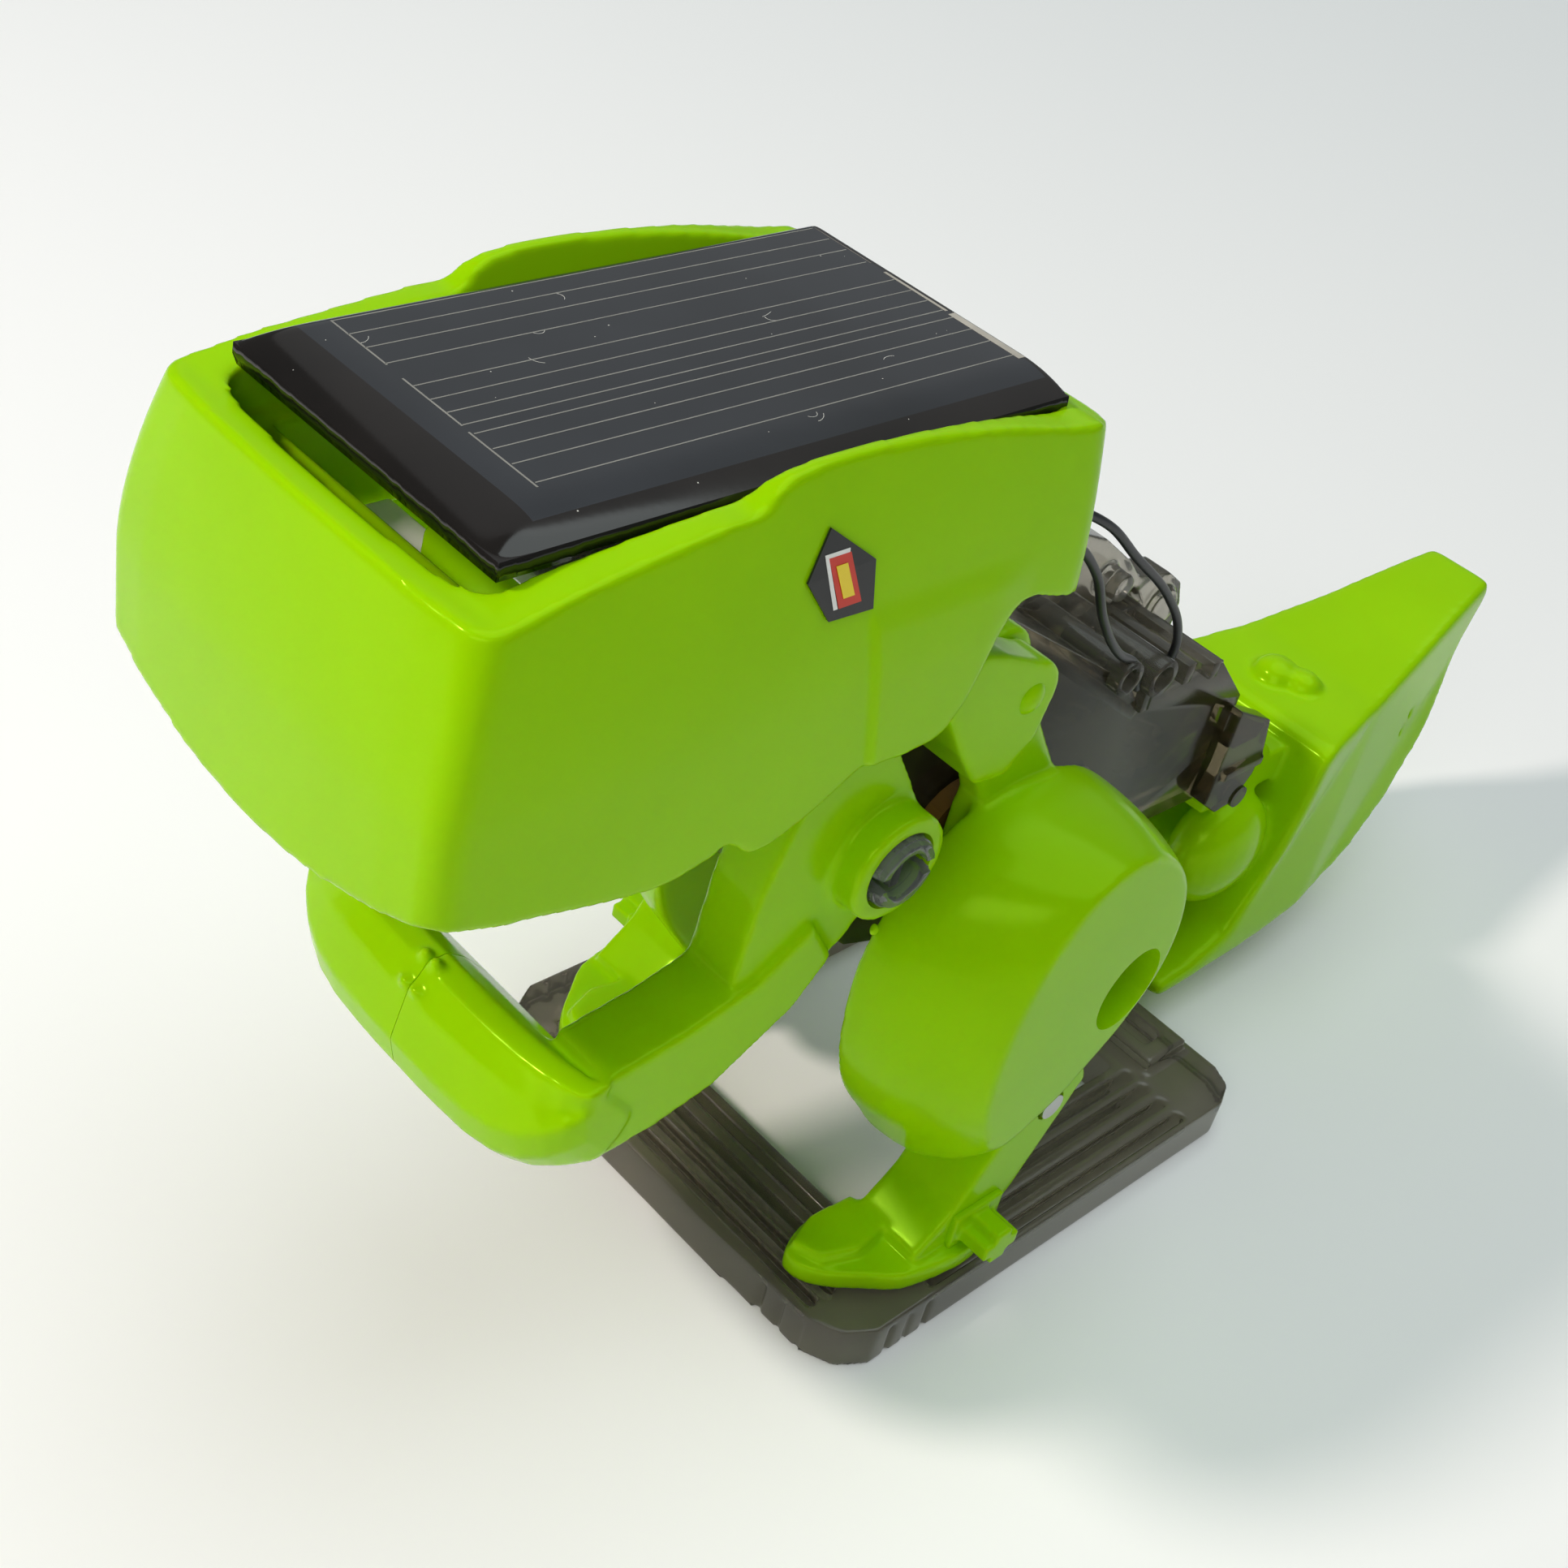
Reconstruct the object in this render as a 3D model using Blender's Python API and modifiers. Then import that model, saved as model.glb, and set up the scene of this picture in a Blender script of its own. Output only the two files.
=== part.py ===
"""Solar robot kit: a dinosaur that rocks on two legs, driven by a small motor and a solar panel.

Frame: +Z up, the snout points to -Y, the kit's left side is +X, the floor is z = 0.
Lengths are millimetres in this file and are turned into metres where the meshes are made.
"""

import math

import bmesh
import bpy
from mathutils import Matrix, Vector

MM = 0.001
GAP = 0.3                                   # air between neighbouring pieces

# Joint axes, all along X, as (y, z).
KNEE = (-13.5, 22.0)
HIP = (-28.0, 72.6)
JAW = (-43.0, 61.6)
TAIL = (32.0, 33.0)

# Base frame.
BASE_HALF = 28.0
BASE_FRONT = -41.0
BASE_REAR = 25.0
BASE_TOP = 5.2
WINDOW_HALF = 17.0
WINDOW_FRONT = -28.0
WINDOW_REAR = 14.0

# Head and panel.
HEAD_HALF_TOP = 16.9
HEAD_HALF_LOW = 20.4
HEAD_TOP = 102.6
HEAD_LOW = 71.6
HEAD_FRONT = -87.0
HEAD_LEAN = 4.4                             # how far the front wall leans forward towards its foot
HEAD_REAR = -29.6
HEAD_WALL = 2.6
SNOUT_BOW = 1.4
HEAD_CORNER = 2.2
HEAD_SWELL = 0.65                           # below 1 the walls bulge: they widen fast near the rim
PANEL_HALF = 14.6
PANEL_FRONT = -85.0
PANEL_LENGTH = 53.0
PANEL_TOP = 100.0
PANEL_THICK = 2.6

# Gearbox and its train.
BOX_HALF = 8.0
BOX_WALL = 1.2
MODULE = 0.7
WHEEL_TEETH = 24
PINION_TEETH = 8
WHEEL_PITCH = MODULE * WHEEL_TEETH / 2
PINION_PITCH = MODULE * PINION_TEETH / 2
SHAFT_STEP = WHEEL_PITCH + PINION_PITCH
MOTOR = (12.5, 44.6)
TRAIN_LEAN = math.radians(172)              # direction from the motor to the output, in the YZ plane
AXLE_R = 0.9
CRANK_R = 5.4
MOTOR_R = 8.6

# Legs.
NECK_IN = 10.6
NECK_OUT = 13.6
FOOT_IN = 16.5
FOOT_OUT = 25.8
PEG_HOLE = (-8.4, 36.0)
PEG_HOLE_R = 4.8
JAW_PIN_R = 3.9
RING_R = 5.2

COLOURS = {
    "green": ((0.27, 0.60, 0.01, 1), 0.25, 0.0),
    "smoke": ((0.10, 0.10, 0.09, 1), 0.20, 0.0),
    "amber": ((0.30, 0.14, 0.03, 1), 0.35, 0.0),
    "panel": ((0.02, 0.03, 0.05, 1), 0.10, 0.0),
    "steel": ((0.55, 0.55, 0.56, 1), 0.30, 1.0),
    "white": ((0.80, 0.79, 0.75, 1), 0.45, 0.0),
    "black": ((0.02, 0.02, 0.02, 1), 0.45, 0.0),
}


def clear_scene():
    for obj in list(bpy.data.objects):
        bpy.data.objects.remove(obj, do_unlink=True)


def new_collection(name):
    collection = bpy.data.collections.new(name)
    bpy.context.scene.collection.children.link(collection)
    return collection


def make_materials():
    made = {}
    for name, (colour, roughness, metallic) in COLOURS.items():
        material = bpy.data.materials.new(name)
        material.use_nodes = True
        shader = material.node_tree.nodes["Principled BSDF"]
        shader.inputs["Base Color"].default_value = colour
        shader.inputs["Roughness"].default_value = roughness
        shader.inputs["Metallic"].default_value = metallic
        made[name] = material
    return made


clear_scene()
KIT = new_collection("solar_robot_kit")
CUTTERS = new_collection("cutters")
MATERIALS = make_materials()


def finish_mesh(name, mesh, material):
    """Puts a mesh in the scene as a part or, with no material, as a hidden helper."""
    obj = bpy.data.objects.new(name, mesh)
    if material:
        mesh.materials.clear()
        mesh.materials.append(MATERIALS[material])
        mesh.shade_smooth()
        mesh.set_sharp_from_angle(angle=math.radians(35))
        KIT.objects.link(obj)
    else:
        obj.hide_render = True
        obj.display_type = "WIRE"
        CUTTERS.objects.link(obj)
    return obj


def plane_matrix(axis):
    """Turns a flat outline's XY into YZ, XZ or XY."""
    if axis == "X":
        return Matrix(((0, 0, 1, 0), (1, 0, 0, 0), (0, 1, 0, 0), (0, 0, 0, 1)))
    if axis == "Y":
        return Matrix(((1, 0, 0, 0), (0, 0, -1, 0), (0, 1, 0, 0), (0, 0, 0, 1)))
    return Matrix.Identity(4)


def rounded(points, radius, steps=4):
    """The outline with each corner replaced by an arc that touches its two sides."""
    out = []
    count = len(points)
    for i in range(count):
        here = Vector(points[i])
        before = (Vector(points[i - 1]) - here)
        after = (Vector(points[(i + 1) % count]) - here)
        half = before.angle(after) / 2
        reach = min(radius / math.tan(half), before.length * 0.48, after.length * 0.48)
        start = here + before.normalized() * reach
        end = here + after.normalized() * reach
        for k in range(steps + 1):
            t = k / steps
            out.append((1 - t) ** 2 * start + 2 * t * (1 - t) * here + t ** 2 * end)
    return [tuple(point) for point in out]


def arc(centre, radius, start_deg, end_deg, steps=8):
    """Points on an arc, in the outline's own plane."""
    out = []
    for k in range(steps + 1):
        a = math.radians(start_deg + (end_deg - start_deg) * k / steps)
        out.append((centre[0] + radius * math.cos(a), centre[1] + radius * math.sin(a)))
    return out


def plate(name, outlines, low, high, axis="X", material=None, bevel=0.0, segments=2):
    """A flat outline, or an outline and its holes, extruded from low to high along an axis."""
    curve = bpy.data.curves.new(name, "CURVE")
    curve.dimensions = "2D"
    curve.fill_mode = "BOTH"
    curve.extrude = (high - low) / 2 * MM
    if not isinstance(outlines[0], list):
        outlines = [outlines]
    for outline in outlines:
        spline = curve.splines.new("POLY")
        spline.points.add(len(outline) - 1)
        for point, (u, v) in zip(spline.points, outline):
            point.co = (u * MM, v * MM, 0, 1)
        spline.use_cyclic_u = True
    guide = bpy.data.objects.new(name + "_curve", curve)
    CUTTERS.objects.link(guide)
    bpy.context.view_layer.update()
    graph = bpy.context.evaluated_depsgraph_get()
    mesh = bpy.data.meshes.new_from_object(guide.evaluated_get(graph))
    bpy.data.objects.remove(guide, do_unlink=True)
    middle = (high + low) / 2 * MM
    shift = Vector((middle, 0, 0)) if axis == "X" else Vector((0, 0, middle))
    shift = Vector((0, middle, 0)) if axis == "Y" else shift
    tidy = bmesh.new()
    tidy.from_mesh(mesh)
    bmesh.ops.remove_doubles(tidy, verts=tidy.verts, dist=0.00001)
    bmesh.ops.transform(tidy, matrix=Matrix.Translation(shift) @ plane_matrix(axis), verts=tidy.verts)
    bmesh.ops.recalc_face_normals(tidy, faces=tidy.faces)
    tidy.to_mesh(mesh)
    tidy.free()
    obj = finish_mesh(name, mesh, material)
    if bevel:
        add_bevel(obj, bevel, segments)
    return obj


def cylinder(name, low, high, centre, radius, axis="X", material=None, sides=24, radius_high=None, bevel=0.0):
    """A round bar from low to high along an axis; centre holds the other two coordinates."""
    mesh = bpy.data.meshes.new(name)
    work = bmesh.new()
    far = radius if radius_high is None else radius_high
    bmesh.ops.create_cone(work, cap_ends=True, segments=sides, radius1=radius * MM, radius2=far * MM,
                          depth=(high - low) * MM)
    middle = (low + high) / 2
    place = {"X": (middle, centre[0], centre[1]), "Y": (centre[0], middle, centre[1]),
             "Z": (centre[0], centre[1], middle)}[axis]
    turn = {"X": Matrix.Rotation(math.pi / 2, 4, "Y"), "Y": Matrix.Rotation(-math.pi / 2, 4, "X"),
            "Z": Matrix.Identity(4)}[axis]
    bmesh.ops.transform(work, matrix=Matrix.Translation(Vector(place) * MM) @ turn, verts=work.verts)
    work.to_mesh(mesh)
    work.free()
    obj = finish_mesh(name, mesh, material)
    if bevel:
        add_bevel(obj, bevel, 2)
    return obj


def box(name, low, high, material=None, bevel=0.0):
    """A box between two corners."""
    mesh = bpy.data.meshes.new(name)
    work = bmesh.new()
    bmesh.ops.create_cube(work, size=1)
    size = [(b - a) * MM for a, b in zip(low, high)]
    middle = [(a + b) / 2 * MM for a, b in zip(low, high)]
    bmesh.ops.scale(work, vec=size, verts=work.verts)
    bmesh.ops.translate(work, vec=middle, verts=work.verts)
    work.to_mesh(mesh)
    work.free()
    obj = finish_mesh(name, mesh, material)
    if bevel:
        add_bevel(obj, bevel, 2)
    return obj


def loft(name, sections, material=None, bevel=0.0, segments=2):
    """A closed solid through outlines of equal length: sections is a list of (x, [(y, z), ...])."""
    work = bmesh.new()
    rings = []
    for x, outline in sections:
        rings.append([work.verts.new((x * MM, y * MM, z * MM)) for y, z in outline])
    for a, b in zip(rings, rings[1:]):
        for i in range(len(a)):
            j = (i + 1) % len(a)
            work.faces.new((a[i], a[j], b[j], b[i]))
    work.faces.new(rings[0][::-1])
    work.faces.new(rings[-1])
    bmesh.ops.recalc_face_normals(work, faces=work.faces)
    mesh = bpy.data.meshes.new(name)
    work.to_mesh(mesh)
    work.free()
    obj = finish_mesh(name, mesh, material)
    if bevel:
        add_bevel(obj, bevel, segments)
    return obj


def add_bevel(obj, width, segments):
    modifier = obj.modifiers.new("edges", "BEVEL")
    modifier.width = width * MM
    modifier.segments = segments
    modifier.limit_method = "ANGLE"
    modifier.angle_limit = math.radians(35)


def combine(obj, other, operation):
    modifier = obj.modifiers.new(operation.lower(), "BOOLEAN")
    modifier.operation = operation
    modifier.solver = "EXACT"
    modifier.object = other
    return obj


def cut(obj, *others):
    for other in others:
        combine(obj, other, "DIFFERENCE")


def join(obj, *others):
    for other in others:
        combine(obj, other, "UNION")


def move_points(obj, rule):
    """Moves every vertex by a rule that takes and gives (x, y, z) in millimetres."""
    for vertex in obj.data.vertices:
        vertex.co = Vector(rule(*(vertex.co / MM))) * MM


def put_origin(obj, axis_point):
    """Moves an object's origin onto its joint's axis without moving its mesh."""
    origin = Vector((0, axis_point[0], axis_point[1])) * MM
    obj.data.transform(Matrix.Translation(-origin))
    obj.location = origin


def mirrored(points):
    """The outline reflected in the plane x = 0."""
    return [(-u, v) for u, v in reversed(points)]


def sided(side, low, high):
    """A span on the left side (+1), or its mirror image on the right side (-1)."""
    return (low, high) if side > 0 else (-high, -low)


SIDES = {"left": 1, "right": -1}


def make_base():
    """The clear frame that the feet stand on: four bars, a window and a raised rear bar."""
    outer = [(-BASE_HALF, BASE_REAR - 4), (-BASE_HALF, BASE_FRONT + 5), (-BASE_HALF + 5, BASE_FRONT + 1),
             (0, BASE_FRONT), (BASE_HALF - 5, BASE_FRONT + 1), (BASE_HALF, BASE_FRONT + 5),
             (BASE_HALF, BASE_REAR - 4), (BASE_HALF - 4, BASE_REAR), (-BASE_HALF + 4, BASE_REAR)]
    window = [(-WINDOW_HALF, WINDOW_FRONT), (WINDOW_HALF, WINDOW_FRONT), (WINDOW_HALF, WINDOW_REAR),
              (-WINDOW_HALF, WINDOW_REAR)]
    base = plate("base_frame", [outer, rounded(window, 2.0, 2)], 0, BASE_TOP, "Z", "smoke", 0.5, 1)
    step = box("rear_step", (-20, WINDOW_REAR + 3, BASE_TOP - 1), (20, BASE_REAR - 1.5, BASE_TOP + 1.6))
    join(base, step)
    groove_depth = 1.0
    for side in SIDES.values():
        low, high = sided(side, WINDOW_HALF + 3.5, BASE_HALF - 3)
        channel_top = (high, WINDOW_REAR - 1, BASE_TOP + 1)
        cut(base, box("bar_channel", (low, 2, BASE_TOP - groove_depth), channel_top))
    cut(base, box("front_channel", (-13, BASE_FRONT + 4, BASE_TOP - groove_depth),
                  (13, WINDOW_FRONT - 3.5, BASE_TOP + 1)))


def make_foot(name, side):
    """Claw, sole and shin, with the square peg of the building system on the outer face."""
    low, high = sided(side, FOOT_IN, FOOT_OUT)
    sole = BASE_TOP + GAP
    heel = [(-29.5, sole), (-19.5, sole), (-14.0, 12.0), (-17.5, 13.4), (-23.0, 12.8), (-29.5, 8.6)]
    foot = plate(name, rounded(heel, 1.5, 2), low, high, "X", "green", 0.5, 1)
    claw = [(-38.6, sole), (-28.5, sole), (-28.5, 8.3), (-30.5, 9.8), (-34.5, 9.6), (-38.6, 7.4)]
    toe_low, toe_high = sided(side, FOOT_IN - 1.2, FOOT_IN + 5.4)
    toe = plate(name + "_toe", rounded(claw, 0.8, 2), toe_low, toe_high, "X")
    shin_low, shin_high = sided(side, FOOT_IN + 0.6, FOOT_OUT - 0.7)
    shin_line = [(-21.5, 12.0), (-16.0, 9.0)]
    shin_line += arc(KNEE, 5.0, -25, 150, 10)
    shin = plate(name + "_shin", shin_line, shin_low, shin_high, "X")
    peg_low, peg_high = sided(side, FOOT_OUT - 1, FOOT_OUT + 3.8)
    peg = box(name + "_peg", (peg_low, -23.2, 7.6), (peg_high, -18.4, 11.6))
    join(foot, toe, shin, peg)
    bore_low, bore_high = sided(side, FOOT_IN - 2, FOOT_OUT + 2)
    cut(foot, cylinder(name + "_bore", bore_low, bore_high, KNEE, 1.8, sides=16))


THIGH_INNER = [(-16.0, 13.6), (-23.6, 14.2), (-34.4, 26.4), (-36.4, 35.0), (-36.6, 43.8), (-32.0, 53.0),
               (-22.0, 57.5), (-9.0, 56.5), (0.0, 49.0), (3.4, 39.0), (0.5, 29.0), (-8.0, 18.5)]
THIGH_OUTER = [(-20.0, 22.0), (-25.5, 23.5), (-30.0, 31.0), (-31.0, 39.0), (-29.5, 47.0), (-25.5, 54.0),
               (-19.0, 57.0), (-10.5, 55.0), (-4.0, 47.5), (-1.8, 39.0), (-4.5, 32.0), (-13.0, 25.5)]
THIGH_X = (13.0, 27.0, 25.4)                # inner face, outer face at the front, outer face at the rear


def make_thigh(name, side):
    """The bulky upper leg, with a neck and lug for the hip, a slot for the shin and a peg hole."""
    inner_x, front_x, rear_x = THIGH_X
    thigh = loft(name, [(inner_x, THIGH_INNER), (front_x, THIGH_OUTER)], "green")
    slope = (front_x - rear_x) / 27.0

    def lean(x, y, z):
        outward = x > (inner_x + front_x) / 2
        return (side * (x - slope * (y + 26.0) * outward), y, z)

    move_points(thigh, lean)
    if side < 0:
        thigh.data.flip_normals()
    add_bevel(thigh, 2.6, 3)
    low, high = sided(side, NECK_IN, NECK_OUT)
    neck_line = [(-24.0, 57.0), (-24.0, 47.0), (-9.5, 47.0), (-13.5, 59.0)]
    neck_line += arc(HIP, 4.0, -15, 195, 12)
    neck = plate(name + "_neck", neck_line, low, high, "X")
    join(thigh, neck)
    hole_low, hole_high = sided(side, 17.5, 30)
    cut(thigh, cylinder(name + "_peg_hole", hole_low, hole_high, PEG_HOLE, PEG_HOLE_R))
    slot_low, slot_high = sided(side, FOOT_IN + 0.2, FOOT_OUT - 0.3)
    slot_line = [(-26.5, 4.0), (-7.0, 4.0)] + arc(KNEE, 6.0, -20, 160, 10)
    cut(thigh, plate(name + "_slot", slot_line, slot_low, slot_high, "X"))
    pin_low, pin_high = sided(side, 14.6, 25.8)
    cut(thigh, cylinder(name + "_pin_hole", pin_low - 0.3, pin_high + 0.3, KNEE, 1.8, sides=16))
    cut(thigh, cylinder(name + "_lug_hole", low - 1, high + 1, HIP, 1.9, sides=16))
    put_origin(thigh, KNEE)


def make_leg_pins(name, side):
    low, high = sided(side, 14.8, 25.6)
    put_origin(cylinder("knee_pin_" + name, low, high, KNEE, 1.5, "X", "steel", 16), KNEE)
    low, high = sided(side, BOX_HALF + GAP, 16.6)
    pin = cylinder("hip_pin_" + name, low, high, HIP, 1.6, "X", "green", 16)
    head_low, head_high = sided(side, 16.0 + GAP, 17.0)
    join(pin, cylinder("hip_pin_head_" + name, head_low, head_high, HIP, 2.6, sides=16))
    put_origin(pin, HIP)


def make_hip_bracket():
    """One green yoke: a bar across the top of the gearbox with a two-eared fork at each end."""
    bar = plate("hip_bracket", rounded([(-42, 78.0), (-35, 78.0), (-35, 81.0), (-42, 81.0)], 0.8, 2),
                -15.8, 15.8, "X", "green")
    block = [(-40.0, 75.0), (-32.6, 64.6), (-27.4, 64.6), (-24.2, 68.2)]
    block += arc(HIP, 4.2, -20, 85, 7)
    block += [(-33.0, 79.5), (-37.0, 80.6), (-40.0, 79.5)]
    for name, side in SIDES.items():
        low, high = sided(side, BOX_HALF + 0.5, 16.0)
        slot_low, slot_high = sided(side, NECK_IN - GAP, NECK_OUT + GAP)
        fork = plate("fork_" + name, block, low, high, "X")
        slot = [(-32.6, 60.0), (-20.0, 60.0), (-20.0, 84.0), (-27.0, 84.0), (-32.6, 78.0)]
        join(bar, fork)
        cut(bar, plate("fork_slot_" + name, slot, slot_low, slot_high, "X"))
        cut(bar, cylinder("fork_bore_" + name, low - 1, high + 1, HIP, 1.9, sides=16))


BOX_LINE = [(-51, 74.0), (-51, 60.0), (-41, 47.0), (-31.0, 38.2), (-24, 35.8), (10, 34.0), (26, 33.5),
            (27.5, 38.0), (27.5, 47.4), (20.0, 54.6), (8.0, 60.4), (1.5, 58.8), (-25, 73.4)]


def shrunk(points, amount):
    """The outline moved inwards by the same amount on every side."""
    out = []
    count = len(points)
    turn = sum(points[i - 1][0] * points[i][1] - points[i][0] * points[i - 1][1] for i in range(count))
    sign = 1 if turn > 0 else -1
    for i in range(count):
        here = Vector(points[i])
        before = (here - Vector(points[i - 1])).normalized()
        after = (Vector(points[(i + 1) % count]) - here).normalized()
        normal_a = Vector((-before.y, before.x)) * sign
        normal_b = Vector((-after.y, after.x)) * sign
        middle = normal_a + normal_b
        out.append(tuple(here + middle * (2 * amount / middle.length_squared)))
    return out


POSTS = ((3.6, 60.2), (-3.6, 63.6))
POST_END = 10.4
REAR_BLOCK = [(24.6, 37.0), (24.6, 33.2), (27.8, 34.0), (29.0, 38.0), (29.0, 44.0), (25.4, 48.8),
              (24.6, 46.0)]
POST_R = 2.2
POST_BORE = 1.2


def make_gearbox():
    """Two clear shells that meet at x = 0, with screw posts and a ribbed block at the rear."""
    inside = shrunk(BOX_LINE, BOX_WALL)
    for name, side in SIDES.items():
        low, high = sided(side, GAP / 2, BOX_HALF)
        shell = plate("gearbox_" + name, rounded(BOX_LINE, 1.2, 1), low, high, "X", "smoke")
        hollow_low, hollow_high = sided(side, -1, BOX_HALF - BOX_WALL)
        cut(shell, plate("box_hollow_" + name, inside, hollow_low, hollow_high, "X"))
        block_low, block_high = sided(side, GAP, 10.8)
        end_block = plate("rear_block_" + name, REAR_BLOCK, block_low, block_high, "X")
        join(shell, end_block)
        lug = plate("top_lug_" + name, rounded([(8, 56), (8, 63.6), (14.0, 64.0), (17.0, 54.5)], 2.0, 3),
                    *sided(side, GAP, 5.0), "X")
        join(shell, lug)
        for index, post in enumerate(POSTS):
            post_low, post_high = sided(side, GAP, POST_END)
            join(shell, cylinder("post_%s_%d" % (name, index), post_low, post_high, post, POST_R, sides=16))
            cut(shell, cylinder("post_bore_%s_%d" % (name, index), *sided(side, GAP, POST_END + 2), post,
                                POST_BORE, sides=12))
        for step in (1, 2):
            tip_low, tip_high = sided(side, BOX_HALF - 1.9, BOX_HALF + 1)
            cut(shell, cylinder("axle_seat_%s_%d" % (name, step), tip_low, tip_high, train_point(step),
                                AXLE_R + 0.3, sides=12))
        shaft_low, shaft_high = sided(side, 4, 10)
        cut(shell, cylinder("shaft_hole_" + name, shaft_low, shaft_high, train_point(3), 1.6, sides=16))


def train_point(step):
    """The axis of gear number step, counted from the motor."""
    return (MOTOR[0] + step * SHAFT_STEP * math.cos(TRAIN_LEAN),
            MOTOR[1] + step * SHAFT_STEP * math.sin(TRAIN_LEAN))


def tooth_line(centre, teeth, first):
    """A gear's outline: trapezoid teeth, with one tooth centred on the angle first."""
    pitch = MODULE * teeth / 2
    tip = pitch + 0.75 * MODULE
    root = pitch - 1.1 * MODULE
    step = 2 * math.pi / teeth
    shape = ((-0.27, root), (-0.11, tip), (0.11, tip), (0.27, root))
    out = []
    for tooth in range(teeth):
        for offset, radius in shape:
            a = first + (tooth + offset) * step
            out.append((centre[0] + radius * math.cos(a), centre[1] + radius * math.sin(a)))
    return out


def make_train():
    """Motor pinion, two stepped gears and the output gear, meshed along one line."""
    towards = TRAIN_LEAN
    back = TRAIN_LEAN + math.pi
    half_wheel = math.pi / WHEEL_TEETH
    pinion = plate("motor_pinion", tooth_line(MOTOR, PINION_TEETH, towards), 4.4, 6.6, "X", "white")
    join(pinion, cylinder("motor_shaft", 0.0, 4.6, MOTOR, 0.75, sides=12))
    put_origin(pinion, MOTOR)
    spans = {1: ((4.6, 6.2), (2.5, 4.7)), 2: ((2.6, 4.2), (0.5, 2.7))}
    for step, (wheel_span, small_span) in spans.items():
        centre = train_point(step)
        wheel = plate("stepped_gear_%d" % step, tooth_line(centre, WHEEL_TEETH, back + half_wheel),
                      *wheel_span, "X", "white")
        small = plate("small_teeth_%d" % step, tooth_line(centre, PINION_TEETH, towards), *small_span, "X")
        join(wheel, small)
        cut(wheel, cylinder("gear_bore_%d" % step, 0, 8, centre, AXLE_R + 0.3, sides=16))
        put_origin(wheel, centre)
        axle = cylinder("gear_axle_%d" % step, -7.6, 7.6, centre, AXLE_R, "X", "steel", 12)
        put_origin(axle, centre)
    last = train_point(3)
    output = plate("output_gear", tooth_line(last, WHEEL_TEETH, back + half_wheel), 0.6, 2.2, "X", "white")
    cut(output, cylinder("output_bore", 0, 8, last, 1.5, sides=16))
    put_origin(output, last)
    put_origin(cylinder("output_shaft", -10.2, 10.2, last, 1.2, "X", "steel", 16), last)
    for name, side in SIDES.items():
        low, high = sided(side, BOX_HALF + GAP, BOX_HALF + 2.1)
        disc = cylinder("crank_" + name, low, high, last, CRANK_R, "X", "amber", 24)
        cut(disc, cylinder("crank_bore_" + name, low - 1, high + 1, last, 1.5, sides=16))
        pin_low, pin_high = sided(side, BOX_HALF + 1.5, NECK_IN - GAP)
        join(disc, cylinder("crank_pin_" + name, pin_low, pin_high, (last[0], last[1] + side * 3.4), 1.1,
                            sides=12))
        put_origin(disc, last)


def make_motor():
    can = cylinder("motor_can", -6.2, 1.6, MOTOR, MOTOR_R, "X", "steel", 32, bevel=0.5)
    cut(can, cylinder("can_bore", -0.6, 3, MOTOR, 1.1, sides=12))
    cap = cylinder("motor_front_boss", 1.6 + GAP, 2.3, MOTOR, 3.0, "X", "amber", 20)
    cut(cap, cylinder("boss_bore", 1, 3, MOTOR, 1.1, sides=12))


def make_screws():
    """Screws that hold the shells together, driven in from the right."""
    for index, post in enumerate(POSTS):
        screw = cylinder("gearbox_screw_%d" % (index + 1), -POST_END - 1, 6.0, post, 0.9, "X", "steel", 12)
        head = cylinder("screw_head_%d" % index, -POST_END - 1.3, -POST_END - GAP, post, 1.9, sides=16)
        join(screw, head)


def make_jaw(name, side):
    """Half of the lower jaw: chin bar, arm, upright plate and the ring that turns on its pin."""
    def chin(x, back, up):
        """The chin bar's section at x, set back and raised from its middle."""
        return (side * x, [(-76.9 + back, 43.0 + up), (-75.2 + back, 38.4 + up), (-71.2, 37.0 + up),
                           (-67.6, 38.6 + up), (-67.4, 46.0), (-69.4, 50.2), (-73.6 + back / 2, 50.8)])

    bar = loft("jaw_" + name, [chin(GAP / 2, 0.0, 0.0), chin(6.0, 0.1, 0.1), chin(12.0, 0.5, 0.3),
                               chin(16.0, 1.4, 1.8), chin(18.2, 3.0, 3.8)], "green", 0.9, 2)
    low, high = sided(side, 10.5, 18.0)
    arm_line = [(-70.0, 41.2), (-57.3, 43.0), (-50.0, 48.0), (-50.0, 55.5), (-56.0, 53.6), (-70.0, 50.2)]
    arm = plate("jaw_arm_" + name, arm_line, low, high, "X")
    plate_low, plate_high = sided(side, 12.8, 16.6)
    upright_line = [(-58.0, 44.0), (-54.5, 44.6), (-44.0, 52.0)] + arc(JAW, RING_R, -60, 50, 6)
    upright_line += [(-48.5, 74.0), (-51.5, 74.4), (-57.0, 60.0), (-58.0, 51.0)]
    upright = plate("jaw_upright_" + name, upright_line, plate_low, plate_high, "X")
    ring = cylinder("jaw_ring_" + name, *sided(side, 13.0, 18.6), JAW, RING_R, sides=24)
    join(bar, arm, upright, ring)
    cut(bar, cylinder("jaw_bore_" + name, *sided(side, 5, 25), JAW, JAW_PIN_R + 0.3, sides=24))
    put_origin(bar, JAW)


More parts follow.
